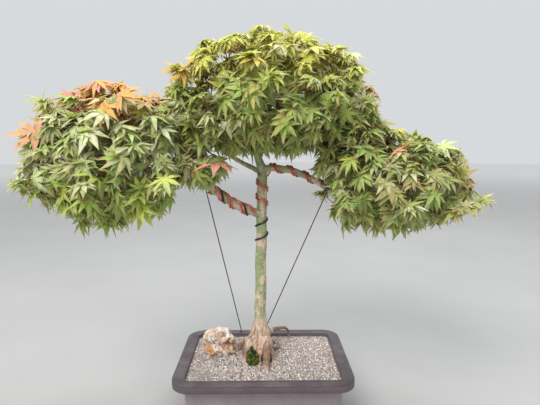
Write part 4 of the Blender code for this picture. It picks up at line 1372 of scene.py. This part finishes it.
def grow_foliage():
    draw = random.Random(CROWN_SEED)
    shapes = [shape_of(leaf) for leaf in leaves]
    twig_copies = []
    for part in ("left", "top", "right"):
        sprays = read_spray_feet(part)
        ends = [end for clump in CLUMPS if clump[0] == part for end in sow_clump(clump, draw)]
        twigs = join_ends(ends, [foot for foot, _ in sprays])
        twigs += [(foot, foot + outward * SPRAY_HEIGHT, outward) for foot, outward in sprays]
        hung = []
        for start, end, outward in twigs:
            length = (end - start).length
            width = TWIG_WIDTH * min(1.3, 0.7 + 6 * length)
            turned = leaf_matrix(start, end - start, outward, 1.0)
            twig_copies.append((0, turned @ Matrix.Diagonal((width, length, width, 1)), (0, 0, draw.random(), 1)))
            hung += leaves_of_twig((start, end, outward), part, draw)
        hang_heroes(hung, part)
        foliage = lay_copies(f"foliage_{part}", shapes, [copy[:3] for copy in hung])
        stands_for = [name for name in nodes if name.startswith(f"leaf_spray_{part}_")]
        hand_over(foliage, LEAF, "leaf", *stands_for)
    fine = lay_copies("fine_twigs", [shape_of(twiglet)], twig_copies)
    points, _ = points_and_normals(fine.data)
    put_points(fine.data, points, thin=np.ones(len(points)))
    hand_over(fine, BARK, "bark")


grow_foliage()
for pattern in [*leaves, twiglet]:
    bpy.data.objects.remove(pattern)

# %% [markdown]
# The pot is a moulded plastic training tray: a tapered box with a flat flange and a lip that turns down. It
# is made from one block the size of the rim. Insets step in from the rim to the body, extrusions go down for
# the outside and for the hollow, and the corners are rounded first, so that every inset keeps them parallel.

# %% Pot sizes
POT_WALL = 3 * MM
POT_TAPER = 7 * MM
LIP_HEIGHT = 11 * MM
POT_FLOOR = 6 * MM
CORNER_RADIUS = 14 * MM
PAD_SIZE = (62 * MM, 44 * MM)
GROOVE = (9 * MM, 2.2 * MM)
DRAIN_RADIUS = 8 * MM
EYELET_RADIUS = 1.9 * MM
rim = pot_high - pot_low
print("pot is", [round(side * 1000) for side in rim], "mm")


def select_flat(obj, normal_z, height, tolerance=0.2 * MM):
    """In edit mode, selects the level faces at a height; +1 faces up and -1 faces down."""
    bpy.ops.mesh.select_all(action="DESELECT")
    shape = bmesh.from_edit_mesh(obj.data)
    for face in shape.faces:
        level = face.normal.z * normal_z > 0.99
        face.select_set(level and abs(face.calc_center_median().z - height) < tolerance)
    bmesh.update_edit_mesh(obj.data)


def step_in(thickness, down):
    """Insets the selected face and pushes the new one down (or up)."""
    if thickness:
        bpy.ops.mesh.inset(thickness=thickness, use_even_offset=True)
    if down:
        extrude((0, 0, -down))


def taper(length, depth, inset):
    bpy.ops.transform.resize(value=(1 - 2 * inset / length, 1 - 2 * inset / depth, 1))


# %% Pot
def mould_pot():
    body_length = rim.x - 2 * FLANGE_WIDTH
    body_depth = rim.y - 2 * FLANGE_WIDTH
    middle = (pot_low + pot_high) / 2
    top = pot_high.z
    lip_bottom = top - LIP_HEIGHT
    block_middle = (middle.x, middle.y, top - LIP_HEIGHT / 2)
    pot = begin("pot_moulded", bpy.ops.mesh.primitive_cube_add, size=1, location=block_middle)
    pot.scale = (rim.x, rim.y, LIP_HEIGHT)
    rest_at_origin(pot)
    open_mesh(pot)
    bpy.ops.mesh.select_mode(type="EDGE")
    bpy.ops.mesh.select_all(action="DESELECT")
    shape = bmesh.from_edit_mesh(pot.data)
    for edge in shape.edges:
        edge.select_set(abs(edge.verts[0].co.z - edge.verts[1].co.z) > LIP_HEIGHT / 2)
    bmesh.update_edit_mesh(pot.data)
    bpy.ops.mesh.bevel(offset=CORNER_RADIUS + FLANGE_WIDTH, segments=9)
    bpy.ops.mesh.select_mode(type="FACE")
    select_flat(pot, -1, lip_bottom)
    step_in(POT_WALL, -(LIP_HEIGHT - POT_WALL))
    step_in(FLANGE_WIDTH - POT_WALL, top - POT_WALL)
    taper(body_length, body_depth, POT_TAPER)
    select_flat(pot, 1, top)
    step_in(FLANGE_WIDTH - 1.2 * MM, -0.5 * MM)
    step_in(1.2 * MM, 0)
    step_in(POT_WALL - 1 * MM, 0.5 * MM)
    step_in(1 * MM, top - POT_FLOOR)
    taper(body_length - 2 * POT_WALL, body_depth - 2 * POT_WALL, POT_TAPER)
    close_mesh()
    return pot


def cutter(kind, name, place, size):
    if kind == "box":
        made = begin(name, bpy.ops.mesh.primitive_cube_add, size=1, location=place)
        made.scale = size
    else:
        cylinder = bpy.ops.mesh.primitive_cylinder_add
        made = begin(name, cylinder, vertices=32, radius=size[0], depth=size[1], location=place)
    return rest_at_origin(made)


def cut_pot(pot):
    """Cuts the foot's cross grooves, the four drain holes, and the two eyelets in the flange."""
    groove_x = (PAD_SIZE[0] + GROOVE[0]) / 2
    groove_y = (PAD_SIZE[1] + GROOVE[0]) / 2
    cutters = []
    for sign in (-1, 1):
        cutters.append(cutter("box", "groove", (sign * groove_x, 0, 0), (GROOVE[0], rim.y, 2 * GROOVE[1])))
        cutters.append(cutter("box", "groove", (0, sign * groove_y, 0), (rim.x, GROOVE[0], 2 * GROOVE[1])))
        for row in (-1, 1):
            place = (sign * groove_x, row * groove_y, 0)
            cutters.append(cutter("hole", "drain", place, (DRAIN_RADIUS, 6 * POT_FLOOR)))
    for foot_x in GUY_FOOT_X:
        place = (foot_x, FLANGE_MIDDLE, pot_high.z)
        cutters.append(cutter("hole", "eyelet", place, (EYELET_RADIUS, 4 * POT_WALL)))
    for tool in cutters:
        cut = pot.modifiers.new("cut", "BOOLEAN")
        cut.operation = "DIFFERENCE"
        cut.object = tool
    apply_all(pot)
    for tool in cutters:
        bpy.data.objects.remove(tool)
    soften = pot.modifiers.new("soft_edges", "BEVEL")
    soften.width = 0.8 * MM
    soften.segments = 2
    soften.limit_method = "ANGLE"
    soften.angle_limit = math.radians(40)
    apply_all(pot)
    bpy.ops.object.shade_smooth_by_angle(angle=math.radians(42))
    return pot


pot = cut_pot(mould_pot())

# %% [markdown]
# The plastic is a dark taupe that has chalked with age. Soil splashes dry on it in small spots, and its mould left
# a very fine grain.


# %% Pot material
def make_pot_finish():
    material, tree, shader = new_material("pot_plastic")
    point = object_point(tree)
    height = separate_xyz(tree, point)["Z"]
    cloud = noise_at(tree, point, 26, 5.0, 0.6)
    colour = ramp(tree, cloud, ((0.3, (0.070, 0.048, 0.060)), (0.7, (0.094, 0.065, 0.080))))
    chalk = noise_at(tree, object_point(tree, (1, 1, 0.6)), 40, 6.0, 0.7)
    lower = band(tree, height, pot_high.z - LIP_HEIGHT - 4 * MM, pot_high.z - LIP_HEIGHT, 0.95, 0.12)
    chalked = times(tree, band(tree, chalk, 0.25, 0.75, 0.72, 0.95), lower)
    colour = mix(tree, chalked, colour, (0.42, 0.345, 0.355))
    flange = band(tree, height, pot_high.z - 2 * MM, pot_high.z - 0.8 * MM, 0, 0.7)
    colour = mix(tree, flange, colour, (0.050, 0.038, 0.047))
    dusty = use_group(tree, DUST, Color=colour, Amount=0.16, Scale=34.0)
    spots = noise_at(tree, point, 520, 3.0, 0.5)
    splash = times(tree, band(tree, spots, 0.63, 0.70, 0, 0.7), band(tree, cloud, 0.4, 0.6))
    colour = mix(tree, splash, dusty["Color"], (0.36, 0.31, 0.26))
    grain = use_group(tree, GRAIN, Color=colour, Scale=1500.0, Contrast=0.10)
    rough = plus(tree, band(tree, cloud, 0.3, 0.7, 0.42, 0.56), times(tree, chalked, 0.2))
    cover(tree, shader, grain["Color"], rough, bump(tree, grain["Height"], 0.08 * MM, 0.5))
    return material


hand_over(pot, make_pot_finish(), "pot_plastic", "pot")

# %% [markdown]
# The screen lies under the soil on the pot's floor, and shows only through the drain holes. Its solid is
# kept, with a woven pattern from two crossed waves.


# %% Drainage screen
def weave_screen():
    material, tree, shader = new_material("screen_plastic")
    point = object_point(tree)
    threads = []
    for direction in ("X", "Y"):
        wave = add(tree, "ShaderNodeTexWave", {"Vector": point, "Scale": 105.0}, bands_direction=direction)
        threads.append(wave.outputs["Fac"])
    cloth = math_node(tree, "MAXIMUM", *threads)
    colour = ramp(tree, cloth, ((0.3, (0.01, 0.01, 0.011)), (0.8, (0.055, 0.055, 0.058))))
    rough = band(tree, cloth, 0.2, 0.9, 0.75, 0.45)
    cover(tree, shader, colour, rough, bump(tree, cloth, 0.5 * MM))
    screen = nodes["drainage_screen"]
    screen.data.materials.clear()
    screen.data.materials.append(material)


weave_screen()

# %% [markdown]
# Bonsai grow in grit, not in earth. The bed is the solid's own block of soil, and thousands of grains lie
# on it: four pebbles are modelled from a small ball, pushed out of round, and laid in rows with a little
# disorder, so that they cover the bed with no bare spot and few clashes.

# %% Grains
GRAIN_SIZE = 2.7 * MM
GRAIN_STEP = 2.35 * MM
GRAIN_KINDS = 4
BED_EDGE = 1.4 * MM
GRAIN_SEED = 90
BED_SEED = 11


def model_grain(number):
    draw = random.Random(GRAIN_SEED + number)
    grain = begin(f"grain_{number}", bpy.ops.mesh.primitive_ico_sphere_add, subdivisions=1, radius=0.5)
    open_mesh(grain)
    bpy.ops.mesh.select_all(action="SELECT")
    squash = [draw.uniform(0.75, 1.15) for _ in range(3)]
    bpy.ops.transform.resize(value=squash)
    shape = bmesh.from_edit_mesh(grain.data)
    for vertex in shape.verts:
        vertex.co *= draw.uniform(0.82, 1.14)
    bmesh.update_edit_mesh(grain.data)
    close_mesh()
    return grain


def tilt(draw, place, size):
    turn = Matrix.Rotation(draw.uniform(0, 6.3), 4, "Z") @ Matrix.Rotation(draw.uniform(-1.2, 1.2), 4, "X")
    return Matrix.Translation(place) @ turn @ Matrix.Scale(size, 4)


def inside_bed(x, y):
    """Whether a spot lies inside the bed's rounded outline, a little way from its edge."""
    corner = CORNER_RADIUS - POT_WALL
    over_x = abs(x) - (soil_high.x - corner)
    over_y = abs(y) - (soil_high.y - corner)
    if over_x > 0 and over_y > 0:
        return math.hypot(over_x, over_y) < corner - BED_EDGE
    return max(over_x, over_y) < corner - BED_EDGE


def spread_grit():
    draw = random.Random(BED_SEED)
    grains = [model_grain(number) for number in range(GRAIN_KINDS)]
    solids = [BVHTree.FromObject(piece, bpy.context.evaluated_depsgraph_get()) for piece in (wood, nodes["rock"])]
    placed = []
    rows = int(2 * soil_high.y / GRAIN_STEP)
    columns = int(2 * soil_high.x / GRAIN_STEP)
    for row in range(rows + 1):
        for column in range(columns + 1):
            x = soil_low.x + (column + 0.5 * (row % 2)) * GRAIN_STEP + draw.uniform(-0.7, 0.7) * MM
            y = soil_low.y + row * GRAIN_STEP + draw.uniform(-0.7, 0.7) * MM
            if not inside_bed(x, y):
                continue
            from_trunk = math.hypot(x - TRUNK_FOOT.x, y - TRUNK_FOOT.y)
            mound = 2.2 * MM * math.exp(-((from_trunk / (55 * MM)) ** 2))
            wave = 1.0 * MM * noise.noise(Vector((x, y, 0)) * 24)
            place = Vector((x, y, SOIL_TOP - 0.3 * MM + mound + wave + draw.uniform(-0.5, 0.6) * MM))
            size = GRAIN_SIZE * draw.uniform(0.78, 1.22)
            if any(buried(solid, place) for solid in solids):
                continue
            kind = draw.random()
            pebble, matrix = draw.randrange(GRAIN_KINDS), tilt(draw, place, size)
            placed.append((pebble, matrix, (draw.random(), kind, draw.random(), 1)))
    grit = lay_copies("grit_grains", [shape_of(grain) for grain in grains], placed)
    for grain in grains:
        bpy.data.objects.remove(grain)
    return grit


def buried(solid, place):
    nearest, normal, _, gap = solid.find_nearest(place)
    return nearest is not None and (place - nearest).dot(normal) < 0 and gap > 0.6 * MM


# %% [markdown]
# The grains are of several kinds: mostly rosy and pale stone, some dark, a few red. Each copy's own tint
# says which kind it is and how bright, and what lies low between them, the bed included, is darkened as painted
# shade.


# %% Grit material
def make_grit_finish():
    material, tree, shader = new_material("grit")
    shade, kind, _, _ = split_colour(tree, "tint")
    point = object_point(tree)
    stone = ramp(
        tree,
        kind,
        (
            (0.00, (0.52, 0.45, 0.42)),
            (0.42, (0.70, 0.62, 0.58)),
            (0.70, (0.84, 0.79, 0.75)),
            (0.84, (0.26, 0.23, 0.23)),
            (0.93, (0.62, 0.42, 0.33)),
            (0.993, (0.52, 0.05, 0.06)),
        ),
        "CONSTANT",
    )
    light = grey(tree, band(tree, shade, 0.0, 1.0, 0.50, 1.22))
    colour = mix(tree, 1.0, stone, light, "MULTIPLY")
    grain = use_group(tree, GRAIN, Color=colour, Scale=1400.0, Contrast=0.22)
    # Painted shade: grains and the bed below the grit's top are darkened, where shade falls between the grains.
    deep = band(tree, separate_xyz(tree, point)["Z"], SOIL_TOP - 2 * MM, SOIL_TOP + 0.6 * MM, 0.65, 0.0)
    colour = mix(tree, deep, grain["Color"], (0.10, 0.085, 0.07))
    rough = band(tree, shade, 0, 1, 0.72, 0.92)
    cover(tree, shader, colour, rough, bump(tree, grain["Height"], 0.15 * MM, 0.6))
    return material


GRIT = make_grit_finish()
bed = copy_of_node("soil", "grit_bed")
hand_over(bed, GRIT, "grit", "soil")
hand_over(spread_grit(), GRIT, "grit")

# %% [markdown]
# The rock beside the trunk is a craggy lump of limestone, cream on its knobs, with patches of iron stain
# that are a little stronger low down, and painted shade darkens its crevices. The solid is cut into finer faces,
# and its points are pushed along their normals by a coarse pattern for the crags and a finer one for the pits.


# %% Rock
def carve_rock():
    rock = fine_skin("rock", "rock_carved", 0.75 * MM, 8)
    points, normals = points_and_normals(rock.data)
    cells = np.array([noise.voronoi(Vector(point) * 40)[0] for point in points])
    knobs = np.minimum((cells[:, 1] - cells[:, 0]) * 1.8, 1)
    ridges = np.abs(noise_field(points, 85, 6.0))
    cracks = np.abs(noise_field(points, 210, 9.0))
    push = 3.4 * knobs - 7.5 * ridges + 1.6 + 4.5 * noise_field(points, 30, 2.4)
    push += 2.2 * np.minimum(cracks, 0.3) + 0.5 * noise_field(points, 420, 4.0)
    seat = smooth_step(points[:, 2], SOIL_TOP, SOIL_TOP + 3 * MM)
    points += normals * (push * seat * MM)[:, None]
    points[:, 2] = np.maximum(points[:, 2], SOIL_TOP)
    put_points(rock.data, points, hollow=0.7 * knobs + 0.3 * np.minimum(cracks * 5, 1))
    pick(rock)
    bpy.ops.object.shade_smooth()
    return rock


def make_rock_finish():
    material, tree, shader = new_material("rock_stone")
    point = object_point(tree)
    high = attribute(tree, "hollow")["Fac"]
    height = separate_xyz(tree, point)["Z"]
    grain = noise_at(tree, point, 260, 6.0, 0.7)
    stone = ramp(
        tree,
        noise_at(tree, point, 75, 5.0, 0.65),
        ((0.30, (0.40, 0.33, 0.27)), (0.44, (0.74, 0.66, 0.57)), (0.60, (0.93, 0.90, 0.85))),
    )
    stain = band(tree, noise_at(tree, point, 48, 5.0, 0.65), 0.46, 0.54)
    low = band(tree, height, SOIL_TOP + 8 * MM, SOIL_TOP + 34 * MM, 1.0, 0.75)
    stained = times(tree, stain, low)
    rust = ramp(tree, grain, ((0.3, (0.34, 0.13, 0.04)), (0.7, (0.78, 0.43, 0.18))))
    colour = mix(tree, stained, stone, rust)
    # Painted shade: the crevices between the knobs and along the cracks are darkened, where shade falls.
    colour = mix(tree, band(tree, high, 0.08, 0.36, 0.9, 0.0), colour, (0.13, 0.095, 0.09))
    rough = band(tree, grain, 0.3, 0.7, 0.75, 0.92)
    cover(tree, shader, colour, rough, bump(tree, grain, 0.6 * MM, 0.8))
    return material


hand_over(carve_rock(), make_rock_finish(), "rock_stone", "rock")

# %% [markdown]
# Moss grows in the damp hollow between the roots. A cushion of it carries hundreds of tiny leafy points, so
# that its edge is ragged like the real thing.


# %% Moss
MOSS_TUFTS = 1200
MOSS_SEED = 23


def model_moss_point():
    cone = {"vertices": 5, "radius1": 0.30, "radius2": 0.20, "depth": 0.6, "location": (0, 0, 0.3)}
    point = begin("moss_point", bpy.ops.mesh.primitive_cone_add, **cone)
    rest_at_origin(point)
    open_mesh(point)
    select_flat(point, 1, 0.6, 0.01)
    extrude((0.1, 0, 0.5))
    bpy.ops.transform.resize(value=(0.1, 0.1, 0.1))
    close_mesh()
    return point


def grow_moss():
    draw = random.Random(MOSS_SEED)
    cushion = fine_skin("moss", "moss_cushion", 0.6 * MM, 4)
    points, _ = points_and_normals(cushion.data)
    rise = np.maximum(points[:, 2] - SOIL_TOP, 0)
    lumps = 1 + 1.3 * noise_field(points, 120, 3.0)
    points[:, 2] += rise * 1.3 * lumps
    points[:, 1] += rise * 1.0
    wander = [noise_field(points, 230, seed) for seed in (1.0, 7.0, 4.0)]
    points += 4 * MM * np.stack(wander, axis=1) * np.minimum(rise / (4 * MM), 1)[:, None]
    put_points(cushion.data, points)
    point = model_moss_point()
    placed = []
    upper = [p for p in cushion.data.polygons if p.normal.z > 0.05]
    grown = noise_field(np.array([p.center for p in upper]), 105, 12.0)
    polygons = [p for p, high in zip(upper, grown) if high > -0.03]
    for _ in range(MOSS_TUFTS):
        polygon = draw.choice(polygons)
        place = Vector(polygon.center)
        facing = (Vector(polygon.normal) + Vector([draw.gauss(0, 0.35) for _ in range(3)])).normalized()
        turn = facing.to_track_quat("Z", "Y").to_matrix().to_4x4()
        size = draw.uniform(1.2, 3.4) * MM
        matrix = Matrix.Translation(place) @ turn @ Matrix.Scale(size, 4)
        placed.append((0, matrix, (draw.random(), draw.random(), 0, 1)))
    tufts = lay_copies("moss_tufts", [shape_of(point)], placed)
    bpy.data.objects.remove(point)
    return cushion, tufts


def make_moss_finish():
    material, tree, shader = new_material("moss")
    shade, _, _, _ = split_colour(tree, "tint")
    patch = noise_at(tree, object_point(tree), 130, 4.0)
    value = plus(tree, times(tree, shade, 0.5), times(tree, patch, 0.6))
    colour = ramp(
        tree,
        value,
        ((0.30, (0.012, 0.022, 0.005)), (0.52, (0.075, 0.115, 0.010)), (0.85, (0.27, 0.32, 0.030))),
    )
    cover(tree, shader, colour, band(tree, patch, 0.3, 0.7, 0.75, 0.95))
    return material


MOSS = make_moss_finish()
moss_cushion, moss_tufts = grow_moss()
hand_over(moss_cushion, MOSS, "moss", "moss")
hand_over(moss_tufts, MOSS, "moss")
